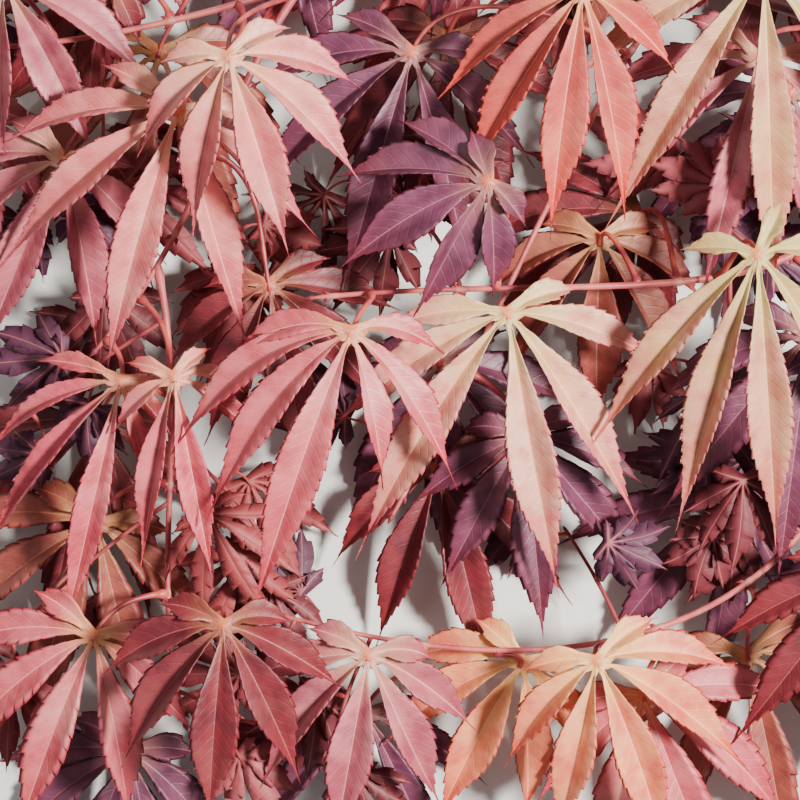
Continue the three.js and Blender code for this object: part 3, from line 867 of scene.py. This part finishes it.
def blade_skin(skin, leaf, columns, pitch, stream, kinds=(0, 1)):
    """Both faces of all seven lobes, closed along their edges and joined at the hub."""
    for index, lobe in enumerate(leaf["lobes"]):
        made = lobe_grid(leaf, lobe, index, columns, pitch, stream)
        side = abs(made["side"])
        near_hub = made["hub_share"][:, None]
        half = HALF_THICKNESS * (1 - side**EDGE_POWER) * (1 - EDGE_THINNING * side)
        half = half + (HUB_HALF_THICKNESS - HALF_THICKNESS) * near_hub**HUB_POWER * (1 - side)
        half[:, 0] = half[:, -1] = 0
        half[-1] = 0
        rib = np.zeros_like(side)
        rib[:-1, len(columns)] = RIB_RISE
        full_width = LOBE_BAKE_WIDTH * lobe["half_width"] * leaf["fullness"]
        strip = (index + 0.5 + made["lobe"][..., 0] / full_width) / BAKE_STRIPS
        along = LOBE_BAKE_SPAN * made["outline"][..., 1]
        for kind, sign, rib_share in ((0, 1, 1), (1, -1, BACK_RIB_SHARE)):
            lift = sign * (half + rib * rib_share)
            grid = made["grid"] + made["up"][:, None] * lift[..., None]
            flat = np.stack([strip, kind / 2 + LOBE_BAKE_FROM + along], -1)
            skin.add_grid(grid, kinds[kind], made["lobe"], made["outline"], flat, flipped=sign < 0)


def stalk_skin(skin, leaf, sides, steps, kind=2, radii=STALK_RADII):
    course = stalk_course(leaf)
    length = course.length()
    shares = np.linspace(0, 1, steps + 1)
    radius = between(*radii, shares) * STALK_SLIMNESS
    swelling = FOOT_SWELLING * hump(shares * length - FOOT_AT, FOOT_LENGTH)
    swelling += HEAD_SWELLING * hump(length - shares * length, HEAD_LENGTH)
    tube_skin(skin, course, radius + swelling * radii[0], sides, kind)


def tube_skin(skin, course, radius, sides, kind):
    """A round tube along a bend, closed at both ends."""
    length = course.length()
    shares = np.linspace(0, 1, len(radius))
    across, over = ring_frames(course, shares)
    angles = np.linspace(0, 2 * math.pi, sides + 1)
    ring = across[:, None] * np.cos(angles)[:, None] + over[:, None] * np.sin(angles)[:, None]
    grid = course.place(shares)[:, None] + ring * radius[:, None, None]
    caps = [np.tile(course.place(share), (1, sides + 1, 1)) for share in (0, 1)]
    grid = np.concatenate([caps[0], grid, caps[1]])
    share, around = np.meshgrid([0, *shares, 1], angles / (2 * math.pi), indexing="ij")
    left = (STALK_BAKE_LEFT + STALK_BAKE_WIDTH * around) / BAKE_STRIPS
    flat = np.stack([left, STALK_BAKE_FROM + STALK_BAKE_SPAN * share], -1)
    lobe_place = np.stack([around, share * length], -1)
    skin.add_grid(grid, kind, lobe_place, np.stack([0 * share, share], -1), flat)


def stand_leaf(leaf, node, swings):
    """Finds how the solid leaf stands: the swing of its aim, and the height of its hub."""
    solid = frame["nodes"][node].data
    places = np.zeros(len(solid.vertices) * 3, np.float32)
    solid.vertices.foreach_get("co", places)
    places = places.reshape(-1, 3) / METRE + MIDDLE
    for swing in swings:
        swung = {**leaf, "aim": leaf["aim"] + swing}
        swung["lobes"] = lobes_of(swung)
        misses, heights = [], []
        for lobe in swung["lobes"]:
            tip = lobe_frames(swung, lobe, np.array([1.0]))[0][0]
            gaps = np.hypot(*(places[:, :2] - tip[:2]).T)
            misses.append(gaps.min())
            heights.append(places[gaps.argmin(), 2] - tip[2])
        if max(misses) < TIP_PLAY:
            swung["hub"] = leaf["hub"] + UP * np.median(heights)
            return swung
    raise ValueError(f"{node} stands as none of its swings")


def leaf_finish(name, face, painted_shade, rib, hub, tip, glow, underside=False):
    """A satin leaf face: pale ribs, faint side veins, skin mottled with clouds of painted shade,
    and crimson edges and tips.
    """
    finish, start, shader = start_finish(name)
    lobe = start.node("ShaderNodeUVMap", {"uv_map": "lobe"}, {})
    outline = start.node("ShaderNodeUVMap", {"uv_map": "outline"}, {})
    across, along = abs(lobe.axis(0)), lobe.axis(1)
    side, share = abs(outline.axis(0)), outline.axis(1)
    place = start.place()
    clouds = start.noise(place, 150, 5)
    patches = start.noise(place, 48, 3)
    grain = start.noise(place, 2600, 2)
    settings, sockets = {"feature": "DISTANCE_TO_EDGE"}, {"Vector": lobe, "Scale": 1.25}
    net = start.node("ShaderNodeTexVoronoi", settings, sockets, output="Distance").rise(0.12, 0.02)
    midrib = across.rise(0.24, 0.07) * share.rise(1.0, 0.8)
    phase = along - across * 0.8 - across * across * 0.035 + clouds * 3.2
    vein = start.math("PINGPONG", phase, VEIN_SPACING / 2).rise(0.42, 0.0) * side.rise(0.95, 0.6)
    if underside:
        face = tuple(between(channel, *BACK_PALENESS) for channel in face)
    # The face colour mottled with clouds of a deeper copy of it, as the blade looks in shade:
    # painted shade
    colour = clouds.rise(0.36, 0.7).blend(face, painted_shade)
    colour = (patches.rise(0.5, 0.72) * 0.4).blend(colour, rib)
    colour = (share.rise(0.45, 1.0) * 0.55).blend(colour, tip)
    colour = (share.rise(0.78, 0.96) * 0.85).blend(colour, tip)
    colour = (side.rise(0.82, 0.98) * share.rise(0.15, 0.45) * 0.85).blend(colour, tip)
    colour = (along.rise(glow, 1.5) * 0.6).blend(colour, hub)
    colour = (net * 0.05 + vein * 0.06).blend(colour, rib)
    colour = (midrib * 0.7).blend(colour, rib)
    colour = (along.rise(2.6, 0.8) * 0.75).blend(colour, (0.7, 0.16, 0.06))
    raised = 0.5 if underside else -0.28
    height = midrib * 0.5 + vein * raised + net * (0.25 * raised) + grain * 0.14
    roughness = (0.52 if underside else 0.36) + clouds * 0.2
    bump = start.bump(height, 0.6, 0.0003)
    wire(start, shader, base_color=colour, roughness=roughness, normal=bump)
    return finish


def stalk_finish():
    """The stalk's thin skin, coral red and a little glossy, deeper in colour in soft clouds."""
    finish, start, shader = start_finish("stalk_skin")
    place = start.place()
    lines = start.noise(place, 900, 2)
    clouds = start.noise(place, 120, 3).rise(0.35, 0.65)
    colour = clouds.blend((0.62, 0.1, 0.075), (0.3, 0.03, 0.045))
    bump = start.bump(lines, 0.3, 0.0001)
    wire(start, shader, base_color=colour, roughness=0.34 + lines * 0.12, normal=bump)
    return finish


VEIN_SPACING = 3.3
BACK_PALENESS = (0.32, 0.35)
# Each look's second colour is its face colour as it looks in shade, painted shade laid in clouds
LOOKS = {
    "dusty_rose": dict(
        face=(0.6, 0.125, 0.145), painted_shade=(0.46, 0.06, 0.08), rib=(0.8, 0.36, 0.33),
        hub=(0.75, 0.36, 0.1), tip=(0.46, 0.018, 0.04), glow=12,
    ),
    "strawberry": dict(
        face=(0.64, 0.09, 0.13), painted_shade=(0.42, 0.04, 0.058), rib=(0.8, 0.36, 0.34),
        hub=(0.8, 0.36, 0.16), tip=(0.5, 0.025, 0.045), glow=14,
    ),
    "cream_rose": dict(
        face=(0.74, 0.38, 0.275), painted_shade=(0.6, 0.17, 0.14), rib=(0.76, 0.52, 0.2),
        hub=(0.56, 0.48, 0.14), tip=(0.55, 0.06, 0.1), glow=26,
    ),
    "green_cream": dict(
        face=(0.62, 0.29, 0.19), painted_shade=(0.48, 0.15, 0.11), rib=(0.68, 0.52, 0.17),
        hub=(0.45, 0.46, 0.12), tip=(0.52, 0.1, 0.09), glow=30,
    ),
    "coral": dict(
        face=(0.52, 0.085, 0.07), painted_shade=(0.4, 0.048, 0.045), rib=(0.8, 0.33, 0.2),
        hub=(0.78, 0.32, 0.1), tip=(0.6, 0.035, 0.025), glow=16,
    ),
    "pale_pink": dict(
        face=(0.72, 0.19, 0.18), painted_shade=(0.54, 0.095, 0.105), rib=(0.84, 0.46, 0.38),
        hub=(0.82, 0.48, 0.24), tip=(0.46, 0.05, 0.08), glow=20,
    ),
    "mauve": dict(
        face=(0.5, 0.12, 0.15), painted_shade=(0.32, 0.05, 0.08), rib=(0.66, 0.32, 0.3),
        hub=(0.68, 0.4, 0.22), tip=(0.3, 0.025, 0.05), glow=16,
    ),
    "apricot": dict(
        face=(0.84, 0.28, 0.13), painted_shade=(0.62, 0.11, 0.07), rib=(0.86, 0.5, 0.25),
        hub=(0.84, 0.54, 0.16), tip=(0.62, 0.05, 0.035), glow=20,
    ),
    # A very dark purple, for leaves in the shade of others: painted shade
    "plum": dict(
        face=(0.16, 0.04, 0.085), painted_shade=(0.08, 0.016, 0.04), rib=(0.36, 0.12, 0.15),
        hub=(0.36, 0.14, 0.1), tip=(0.14, 0.012, 0.03), glow=12,
    ),
    "russet": dict(
        face=(0.34, 0.075, 0.055), painted_shade=(0.2, 0.038, 0.036), rib=(0.52, 0.22, 0.12),
        hub=(0.56, 0.28, 0.1), tip=(0.3, 0.025, 0.025), glow=16,
    ),
    # A very dark red, for leaves in the shade of others: painted shade
    "maroon": dict(
        face=(0.2, 0.022, 0.032), painted_shade=(0.1, 0.011, 0.018), rib=(0.38, 0.09, 0.09),
        hub=(0.4, 0.14, 0.06), tip=(0.2, 0.01, 0.018), glow=12,
    ),
}
STALK_SKIN = stalk_finish()
LEAF_SKINS = {
    name: [leaf_finish(f"{name}_face", **look), leaf_finish(f"{name}_back", **look, underside=True)]
    for name, look in LOOKS.items()
}
FINE_COLUMNS = [0.1, 0.38, 0.8, 1.0]
top_places = []
low_places = []


def grow_leaf(leaf, node, columns, pitch, seed, places):
    """The finished leaf in the place of its solid."""
    skin = Skin()
    stream = seeded(seed)
    blade_skin(skin, leaf, columns, pitch, stream)
    stalk_skin(skin, leaf, STALK_SIDES, STALK_STEPS)
    blade = skin.object(node.replace("leaf_", "maple_leaf_"))
    for finish in (*LEAF_SKINS[leaf["look"]], STALK_SKIN):
        blade.data.materials.append(finish)
    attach(blade, "root")
    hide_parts(node)
    places.append(skin.places())
    return blade


for number, leaf in enumerate(TOP_LEAVES, start=1):
    node = f"leaf_top_{number:02d}"
    leaf["breadth"] = drawn(seeded(number), *BREADTHS) * leaf["slimness"]
    leaf = stand_leaf(leaf, node, [0])
    seed = TOP_BLADE_SEED + number
    blade = grow_leaf(leaf, node, FINE_COLUMNS, TOOTH_PITCH, seed, top_places)

# Leaves of the pairs
# They grow in twos from the joints of every limb, turn most of the way to where the branch hangs,
# and lie lower, in dark looks that paint the shade they lie in. Only those that have a solid found
# room to grow.

STALK_REACH = 24
STALK_REACH_PLAY = (0.75, 1.1)
HANGING = -90
HANGING_SHARE = 0.62
PAIR_ANGLES = (48, 76)
PAIR_AIM_PLAY = (-12, 12)
PAIR_SIZES = (0.7, 0.96)
PAIR_SHAPE = {
    "wings": (12, 30),
    "turns": (0.94, 1.06),
    "reaches": (0.93, 1.03),
    "breadth": (0.9, 1.08),
    "fold": (28, 42),
}
PAIR_SEED = 101
PAIR_BLADE_SEED = 700
PAIR_SWINGS = [0, 16, -16, 32, -32]
# Mostly the dark looks, which paint the shade that the lower leaves lie in
SHADED_LOW_LOOKS = ["maroon", "plum", "maroon", "mauve", "russet", "plum", "dusty_rose"]
LOW_COLUMNS = [0.1, 0.6, 1.0]
LOW_TOOTH_PITCH = 3.2


def way_off(limb, at, angle):
    """The way in plan of what leaves a limb at an angle, to its left where the angle is over 0."""
    along = limb["course"].heading(at)
    return math.degrees(math.atan2(along[1], along[0])) + angle


def turn_to_hang(way):
    """The turn from a way to where the branch hangs, the shorter way round."""
    return (HANGING - way + 540) % 360 - 180


def drawn_shape(stream, ranges):
    """How a leaf's sides hang, the turns and reaches of its lobes, its breadth and its folds."""
    return {
        "wings": (drawn(stream, *ranges["wings"]), drawn(stream, *ranges["wings"])),
        "turns": [turn * drawn(stream, *ranges["turns"]) for turn in LOBE_TURNS],
        "reaches": [reach * drawn(stream, *ranges["reaches"]) for reach in LOBE_REACHES],
        "breadth": drawn(stream, *ranges["breadth"]),
        "fold": drawn(stream, *ranges["fold"]),
        "fullness": FULLNESS,
    }


def pair_leaf(limb, at, side, index):
    """One leaf of a pair, on the right of its limb for side -1 and on the left for side 1."""
    stream = seeded(PAIR_SEED + index)
    away = way_off(limb, at, side * drawn(stream, *PAIR_ANGLES))
    reach = STALK_REACH * drawn(stream, *STALK_REACH_PLAY)
    leaf = {
        "carrier": limb,
        "at": at,
        "hub": (limb["course"].place(at) + heading(away) * reach) * (1, 1, 0),
        "aim": away + turn_to_hang(away) * HANGING_SHARE + drawn(stream, *PAIR_AIM_PLAY),
        "length": LEAF_LENGTH * drawn(stream, *PAIR_SIZES),
        "look": SHADED_LOW_LOOKS[index % len(SHADED_LOW_LOOKS)],
    }
    return leaf | drawn_shape(stream, PAIR_SHAPE)


index = 0
for name, limb in LIMBS.items():
    for pair, at in enumerate(limb["pairs"], start=1):
        for side, letter in ((-1, "a"), (1, "b")):
            node = f"leaf_{name.replace('shoot_', '')}_{pair}{letter}"
            leaf = pair_leaf(limb, at, side, index)
            if node in frame["nodes"]:
                leaf = stand_leaf(leaf, node, PAIR_SWINGS)
                seed = PAIR_BLADE_SEED + index
                blade = grow_leaf(leaf, node, LOW_COLUMNS, LOW_TOOTH_PITCH, seed, low_places)
            index += 1

# Small leaves on finer twigs
# Thin twigs fork off every limb and carry small leaves in twos, which fill the shade under the
# large ones and are dark in colour to paint that shade. There are many, all alike, so they are
# joined, in plain colours dealt out by twig.

CELL = 1.0
BOX_PLAY = 0.8
ROOF_PLAY = 1.2
GAP_CELLS = 16
EDGE_CELLS = 3
REACH_PLAY = 8
OPEN_AIR = 1000.0
TWIG_PITCH = 6
TWIG_TRIES = 24
SLOT_PLAY = (0.2, 0.8)
TWIG_ANGLES = (30, 84)
TWIG_TURN_SHARES = (0, 0.5)
TWIG_REACHES = [(12, 58), (9, 34)]
TWIG_DROPS = (-24, 8)
TWIG_SWEEP = 0.35
TWIG_FOOT_CELLS = 2.5
TWIG_RADII = [(0.62, 0.4), (0.44, 0.32)]
TWIG_PAIRS = [0.52, 0.98]
TWIG_SEED = 900
TWIG_STEPS = 24
TWIG_SIDES = 8
TWIG_JOINT_RISE = 0.14
TWIG_JOINT_SHARE = 0.05
LEAST_SHADE = 14
SMALL_ANGLES = (38, 72)
SMALL_STALKS = (7, 13)
SMALL_LENGTHS = (22, 40)
SMALL_AIM_PLAY = (-14, 14)
SMALL_SHAPE = {
    "wings": (8, 34),
    "turns": (0.9, 1.06),
    "reaches": (0.9, 1.04),
    "breadth": (0.5, 0.64),
    "fold": (26, 44),
}
SMALL_SWINGS = [0, 28, -28, 56, -56]
SMALL_LIFTS = [0, -3, 3, -6, 6, -10, 10, -14, 14, -19]
SMALL_SIZES = [1, 0.8, 0.62]
SMALL_COLUMNS = [0.1, 1.0]
SMALL_TOOTH_PITCH = 3.5
SMALL_BLADE_SEED = 1200
SMALL_STALK_RADII = (0.52, 0.34)
SMALL_STALK_SIDES = 6
SMALL_STALK_STEPS = 12
STALK_CLEAR_FROM = 0.4
NET_ROWS = 15
NET_FROM = 0.1
NET_SIDES = (-1, -0.5, 0, 0.5, 1)
PIECE_FACES = 80000


def widened(heights, steps):
    """A map of heights where each cell has taken the greatest of its neighbours, step by step."""
    for _ in range(steps):
        around = np.pad(heights, 1, mode="edge")
        rows, columns = heights.shape
        shifted = [around[x : x + rows, y : y + columns] for x, y in np.ndindex(3, 3)]
        heights = np.max(shifted, axis=0)
    return heights


class Room:
    """The air in the branch's box by small cells: which are taken, what the top leaves roof, how
    high the crown reaches with its gaps closed, and over which cells no leaf hangs yet."""

    def __init__(self, low, high):
        self.low, self.high = low, high
        self.last = ((high - low) / CELL).astype(int) + 2
        self.taken = np.zeros(self.last + 1, bool)
        self.roof = np.full(self.last[:2] + 1, OPEN_AIR)
        self.reach = np.zeros(self.last[:2] + 1)
        self.bare = np.ones(self.last[:2] + 1, bool)

    def cells(self, places):
        numbers = np.clip(((places - self.low) / CELL).astype(int) + 1, 0, self.last)
        return np.moveaxis(numbers, -1, 0)

    def cells_round(self, places, layers=1):
        """The cells of places and those beside them, with three layers also over and under them."""
        for step in np.ndindex(3, 3, layers):
            yield self.cells(places + (np.array(step) - (1, 1, layers // 2)) * CELL)

    def take(self, places):
        for x, y, z in self.cells_round(places, layers=3):
            self.taken[x, y, z] = True

    def shade(self, places):
        for x, y, _ in self.cells_round(places):
            self.bare[x, y] = False

    def new_shade(self, places):
        x, y, _ = self.cells(places)
        return len(np.unique((x * self.last[1] * 2 + y)[self.bare[x, y]]))

    def put_roof(self, places):
        for x, y, _ in self.cells_round(places):
            np.minimum.at(self.roof, (x, y), places[:, 2])

    def put_reach(self, places):
        x, y, _ = self.cells(places)
        np.maximum.at(self.reach, (x, y), places[:, 2])
        self.reach = -widened(-widened(self.reach, GAP_CELLS), GAP_CELLS - EDGE_CELLS)
        self.reach[self.reach > 0] += REACH_PLAY

    def fits(self, places):
        """Whether places are in free air in the crown, or each set of them in a stack of sets."""
        x, y, z = self.cells(places)
        inside = ((places > self.low + BOX_PLAY) & (places < self.high - BOX_PLAY)).all(-1)
        under = places[..., 2] < np.minimum(self.reach[x, y], self.roof[x, y] - ROOF_PLAY)
        return (inside & under & ~self.taken[x, y, z]).all(-1)


def rod_places(course, radius, start=0.0):
    """Places on a rod along a bend, from a share of it on."""
    shares = np.linspace(start, 1, int(course.length()) + 2)
    across, over = ring_frames(course, shares)
    middles = course.place(shares)
    rings = [middles + way * radius * sign for way in (across, over) for sign in (-1, 1)]
    return np.concatenate([middles, *rings])


def blade_places(leaf):
    """A loose net of places over a blade, to try whether it has room."""
    shares = np.linspace(NET_FROM, 1 + TAIL_SHARE, NET_ROWS)
    fold = math.radians(leaf["fold"])
    net = []
    for lobe in leaf["lobes"]:
        middle, _, across, out = lobe_frames(leaf, lobe, shares)
        half = half_width_at(lobe, shares)[:, None] * leaf["fullness"]
        for side in NET_SIDES:
            aside = across * math.cos(fold) * side + out * math.sin(fold) * abs(side)
            net.append(middle + aside * half)
    return np.concatenate(net)


def try_small_leaf(room, twig, at, side, stream):
    """A small leaf of a twig's pair, at the first height and size where it has room."""
    away = way_off(twig, at, side * drawn(stream, *SMALL_ANGLES))
    hub = twig["course"].place(at) + heading(away) * drawn(stream, *SMALL_STALKS)
    length = drawn(stream, *SMALL_LENGTHS)
    aim = away + turn_to_hang(away) * HANGING_SHARE + drawn(stream, *SMALL_AIM_PLAY)
    leaf = {"carrier": twig, "at": at, "aim": aim, "arch": 0, **drawn_shape(stream, SMALL_SHAPE)}
    lifts = np.array(SMALL_LIFTS)[:, None, None] * UP
    for size in SMALL_SIZES:
        sized = {**leaf, "length": length * size, "hub": np.zeros(3)}
        sized["lobes"] = lobes_of(sized)
        blade = blade_places(sized)
        for swing in SMALL_SWINGS:
            turned = blade @ np.array([heading(swing), heading(swing + 90), UP])
            free = room.fits(hub + turned + lifts)
            if free.any():
                stood = {**sized, "aim": leaf["aim"] + swing, "hub": hub + lifts[free.argmax(), 0]}
                stood["lobes"] = lobes_of(stood)
                if room.fits(rod_places(stalk_course(stood), 0, start=STALK_CLEAR_FROM)):
                    return stood
    return None


def try_twig(room, limb, at, side, order, stream):
    """A twig that forks off a limb or twig and turns a little to where the branch hangs."""
    root = limb["course"].place(at)
    away = way_off(limb, at, side * drawn(stream, *TWIG_ANGLES))
    end_way = away + turn_to_hang(away) * drawn(stream, *TWIG_TURN_SHARES)
    reach = drawn(stream, *TWIG_REACHES[order])
    end = root + heading((away + end_way) / 2) * reach + UP * drawn(stream, *TWIG_DROPS)
    second = root + heading(away) * TWIG_SWEEP * reach
    third = end - heading(end_way) * TWIG_SWEEP * reach
    radii = TWIG_RADII[order]
    twig = {"course": Course([root, second, third, end]), "radii": radii}
    clear = (between(*limb["radii"], at) + TWIG_FOOT_CELLS * CELL) / reach
    return twig if room.fits(rod_places(twig["course"], radii[0], start=clear)) else None


def plain_finish(name, colour):
    """One plain colour on a satin, finely grained skin."""
    finish, start, shader = start_finish(name)
    grain = start.noise(start.place(), 1100, 3)
    bump = start.bump(grain, 0.4, 0.0002)
    wire(start, shader, base_color=(*colour, 1), roughness=0.5 + grain * 0.2, normal=bump)
    return finish


# Dark colours for face and back, which paint the shade under the large leaves
SHADED_SMALL_LOOKS = [
    ("maroon", (0.15, 0.017, 0.026), (0.16, 0.035, 0.045)),
    ("plum", (0.1, 0.024, 0.055), (0.12, 0.045, 0.065)),
    ("wine", (0.24, 0.03, 0.04), (0.22, 0.055, 0.06)),
    ("crimson", (0.3, 0.04, 0.045), (0.26, 0.07, 0.07)),
    ("rose", (0.38, 0.07, 0.085), (0.32, 0.1, 0.11)),
]
LOOK_ORDER = [0, 1, 0, 2, 1, 3, 0, 2, 4, 1]
SMALL_SKINS = [
    plain_finish(f"small_{name}_{side}", colour)
    for name, *colours in SHADED_SMALL_LOOKS
    for side, colour in zip(("face", "back"), colours)
]
SMALL_RIB = plain_finish("small_rib", (0.34, 0.09, 0.085))
SMALL_STALK = plain_finish("small_stalk", (0.4, 0.05, 0.05))
TWIG_BARK = plain_finish("twig_bark", (0.34, 0.05, 0.055))

corner_low, corner_high = (np.array(corner) / METRE + MIDDLE for corner in solids_box)
room = Room(corner_low, corner_high)
for places in top_places:
    room.put_roof(places)
for places in top_places + low_places:
    room.take(places)
    room.shade(places)
limb_places = [rod_places(limb["course"], limb["radii"][0]) for limb in LIMBS.values()]
for places in limb_places:
    room.take(places)
room.put_reach(np.concatenate(top_places + low_places + limb_places))


def grow_twig(room, limb, slot, slots, order, stream):
    """Of several twigs tried at one slot of a limb, the one whose leaves shade most bare ground."""
    most, best, free = LEAST_SHADE, None, room.taken
    for _ in range(TWIG_TRIES):
        at = (slot + drawn(stream, *SLOT_PLAY)) / slots
        side = 1 if drawn(stream, 0, 1) > 0.5 else -1
        twig = try_twig(room, limb, at, side, order, stream)
        if twig is None:
            continue
        room.taken = free.copy()
        room.take(rod_places(twig["course"], twig["radii"][0]))
        twig["leaves"] = []
        for pair in TWIG_PAIRS:
            for side in (-1, 1):
                leaf = try_small_leaf(room, twig, pair, side, stream)
                if leaf:
                    room.take(blade_places(leaf))
                    twig["leaves"].append(leaf)
        shade = sum(room.new_shade(blade_places(leaf)) for leaf in twig["leaves"])
        if shade > most:
            most, best, taken = shade, twig, room.taken
    room.taken = taken if best else free
    for leaf in best["leaves"] if best else ():
        room.shade(blade_places(leaf))
    return best


twigs = []
carriers = list(LIMBS.values())
seed = TWIG_SEED
for order in range(len(TWIG_REACHES)):
    grown = []
    for limb in carriers:
        seed += 1
        stream = seeded(seed)
        slots = max(int(limb["course"].length() / TWIG_PITCH), 1)
        for slot in range(slots):
            twig = grow_twig(room, limb, slot, slots, order, stream)
            if twig:
                grown.append(twig)
    twigs += grown
    carriers = grown

small_leaves = []
for number, twig in enumerate(twigs):
    for leaf in twig["leaves"]:
        leaf["colour"] = LOOK_ORDER[number % len(LOOK_ORDER)]
        small_leaves.append(leaf)

bark = Skin()
shares = np.linspace(0, 1, TWIG_STEPS + 1)
joints = sum(hump(shares - pair, TWIG_JOINT_SHARE) for pair in TWIG_PAIRS)
for twig in twigs:
    radius = between(*twig["radii"], shares) + TWIG_JOINT_RISE * joints
    tube_skin(bark, twig["course"], radius, TWIG_SIDES, 0)
piece = bark.object("small_twigs", own_bake=False)
piece.data.materials.append(TWIG_BARK)
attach(piece, "root")


def join_small_leaves(skin, number):
    piece = skin.object(f"small_leaves_{number}", own_bake=False)
    for finish in (*SMALL_SKINS, SMALL_RIB, SMALL_STALK):
        piece.data.materials.append(finish)
    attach(piece, "root")


RIB_KIND = len(SMALL_SKINS)
STALK_KIND = RIB_KIND + 1
skin, pieces = Skin(), 0
for number, leaf in enumerate(small_leaves, start=1):
    edge = [leaf["colour"] * 2, leaf["colour"] * 2 + 1]
    kinds = [np.array([kind, RIB_KIND, RIB_KIND, kind]) for kind in edge]
    stream = seeded(SMALL_BLADE_SEED + number)
    blade_skin(skin, leaf, SMALL_COLUMNS, SMALL_TOOTH_PITCH, stream, kinds)
    stalk_skin(skin, leaf, SMALL_STALK_SIDES, SMALL_STALK_STEPS, STALK_KIND, SMALL_STALK_RADII)
    if sum(map(len, skin.faces)) > PIECE_FACES or number == len(small_leaves):
        pieces += 1
        join_small_leaves(skin, pieces)
        skin = Skin()

# Buds
# A pair of small pointed buds sits in the corners over each pair of leaves, and one closes the
# tip of every shoot and twig. They are alike but for their size, and joined.

BUD_LINE = (-0.12, 0.3, 0.65, 1)
BUD_PROFILE = np.array([0.5, 0.86, 1.0, 0.94, 0.74, 0.48, 0.22, 0.05])
BUD_RADIUS = 0.3
BUD_SIDES = 10
BUD_AHEAD = 0.86
BUD_ASIDE = 0.5
BUD_SEAT = 0.8
TIP_BUD = 2.6
SIDE_BUD = 1.9
TWIG_BUD = 1.6


def add_bud(skin, place, way, size):
    line = Course([place + way * size * share for share in BUD_LINE])
    tube_skin(skin, line, BUD_PROFILE * BUD_RADIUS * size, BUD_SIDES, 0)


buds = Skin()
for limb in LIMBS.values():
    add_bud(buds, limb["course"].place(1), limb["course"].heading(1), TIP_BUD)
    for pair in limb["pairs"]:
        along = limb["course"].heading(pair)
        across = np.cross(UP, along)
        across /= np.linalg.norm(across)
        for side in (-1, 1):
            way = along * BUD_AHEAD + across * side * BUD_ASIDE
            foot = across * side * between(*limb["radii"], pair)
            ahead = along * JOINT_LENGTH * BUD_SEAT
            add_bud(buds, limb["course"].place(pair) + foot + ahead, way, SIDE_BUD)
for twig in twigs:
    add_bud(buds, twig["course"].place(1), twig["course"].heading(1), TWIG_BUD)
piece = buds.object("buds", own_bake=False)
piece.data.materials.append(plain_finish("bud_scales", (0.22, 0.025, 0.035)))
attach(piece, "root")

# The floor, the light and the camera
# A plain pale floor under soft studio light. The camera looks straight down on the branch.

FLOOR_SIZE = 6
FLOOR_COLOUR = (0.78, 0.765, 0.74, 1)
LAMPS = [("key_light", (0.53, 0.04, 0.85), 0.16, 29), ("fill_light", (-0.6, 0.4, 0.9), 0.8, 2.4)]
LAMP_COLOUR = (1, 0.965, 0.91)
SKY_COLOUR = (0.95, 0.97, 1, 1)
SKY_STRENGTH = 0.26
FOCUS_HEIGHT = 55
CAMERA_DISTANCE = 750
LENS = 135
SENSOR_WIDTH = 36

bpy.ops.mesh.primitive_plane_add(size=FLOOR_SIZE)
floor = bpy.context.object
floor.name = "floor"
finish, start, shader = start_finish("pale_floor")
wire(start, shader, base_color=FLOOR_COLOUR, roughness=0.75)
floor.data.materials.append(finish)

for name, place, size, power in LAMPS:
    bpy.ops.object.light_add(type="AREA", location=place)
    light = bpy.context.object
    light.name = name
    light.data.size = size
    light.data.energy = power
    light.data.color = LAMP_COLOUR
    light.rotation_euler = (-Vector(place)).to_track_quat("-Z", "Y").to_euler()

world = bpy.data.worlds.new("studio")
world.use_nodes = True
world.node_tree.nodes["Background"].inputs["Color"].default_value = SKY_COLOUR
world.node_tree.nodes["Background"].inputs["Strength"].default_value = SKY_STRENGTH
bpy.context.scene.world = world

height = FOCUS_HEIGHT + CAMERA_DISTANCE
bpy.ops.object.camera_add(location=(UP * height - MIDDLE) * METRE)
camera = bpy.context.object
camera.data.lens = LENS
camera.data.sensor_width = SENSOR_WIDTH
camera.rotation_euler = (0, 0, 0)
bpy.context.scene.camera = camera
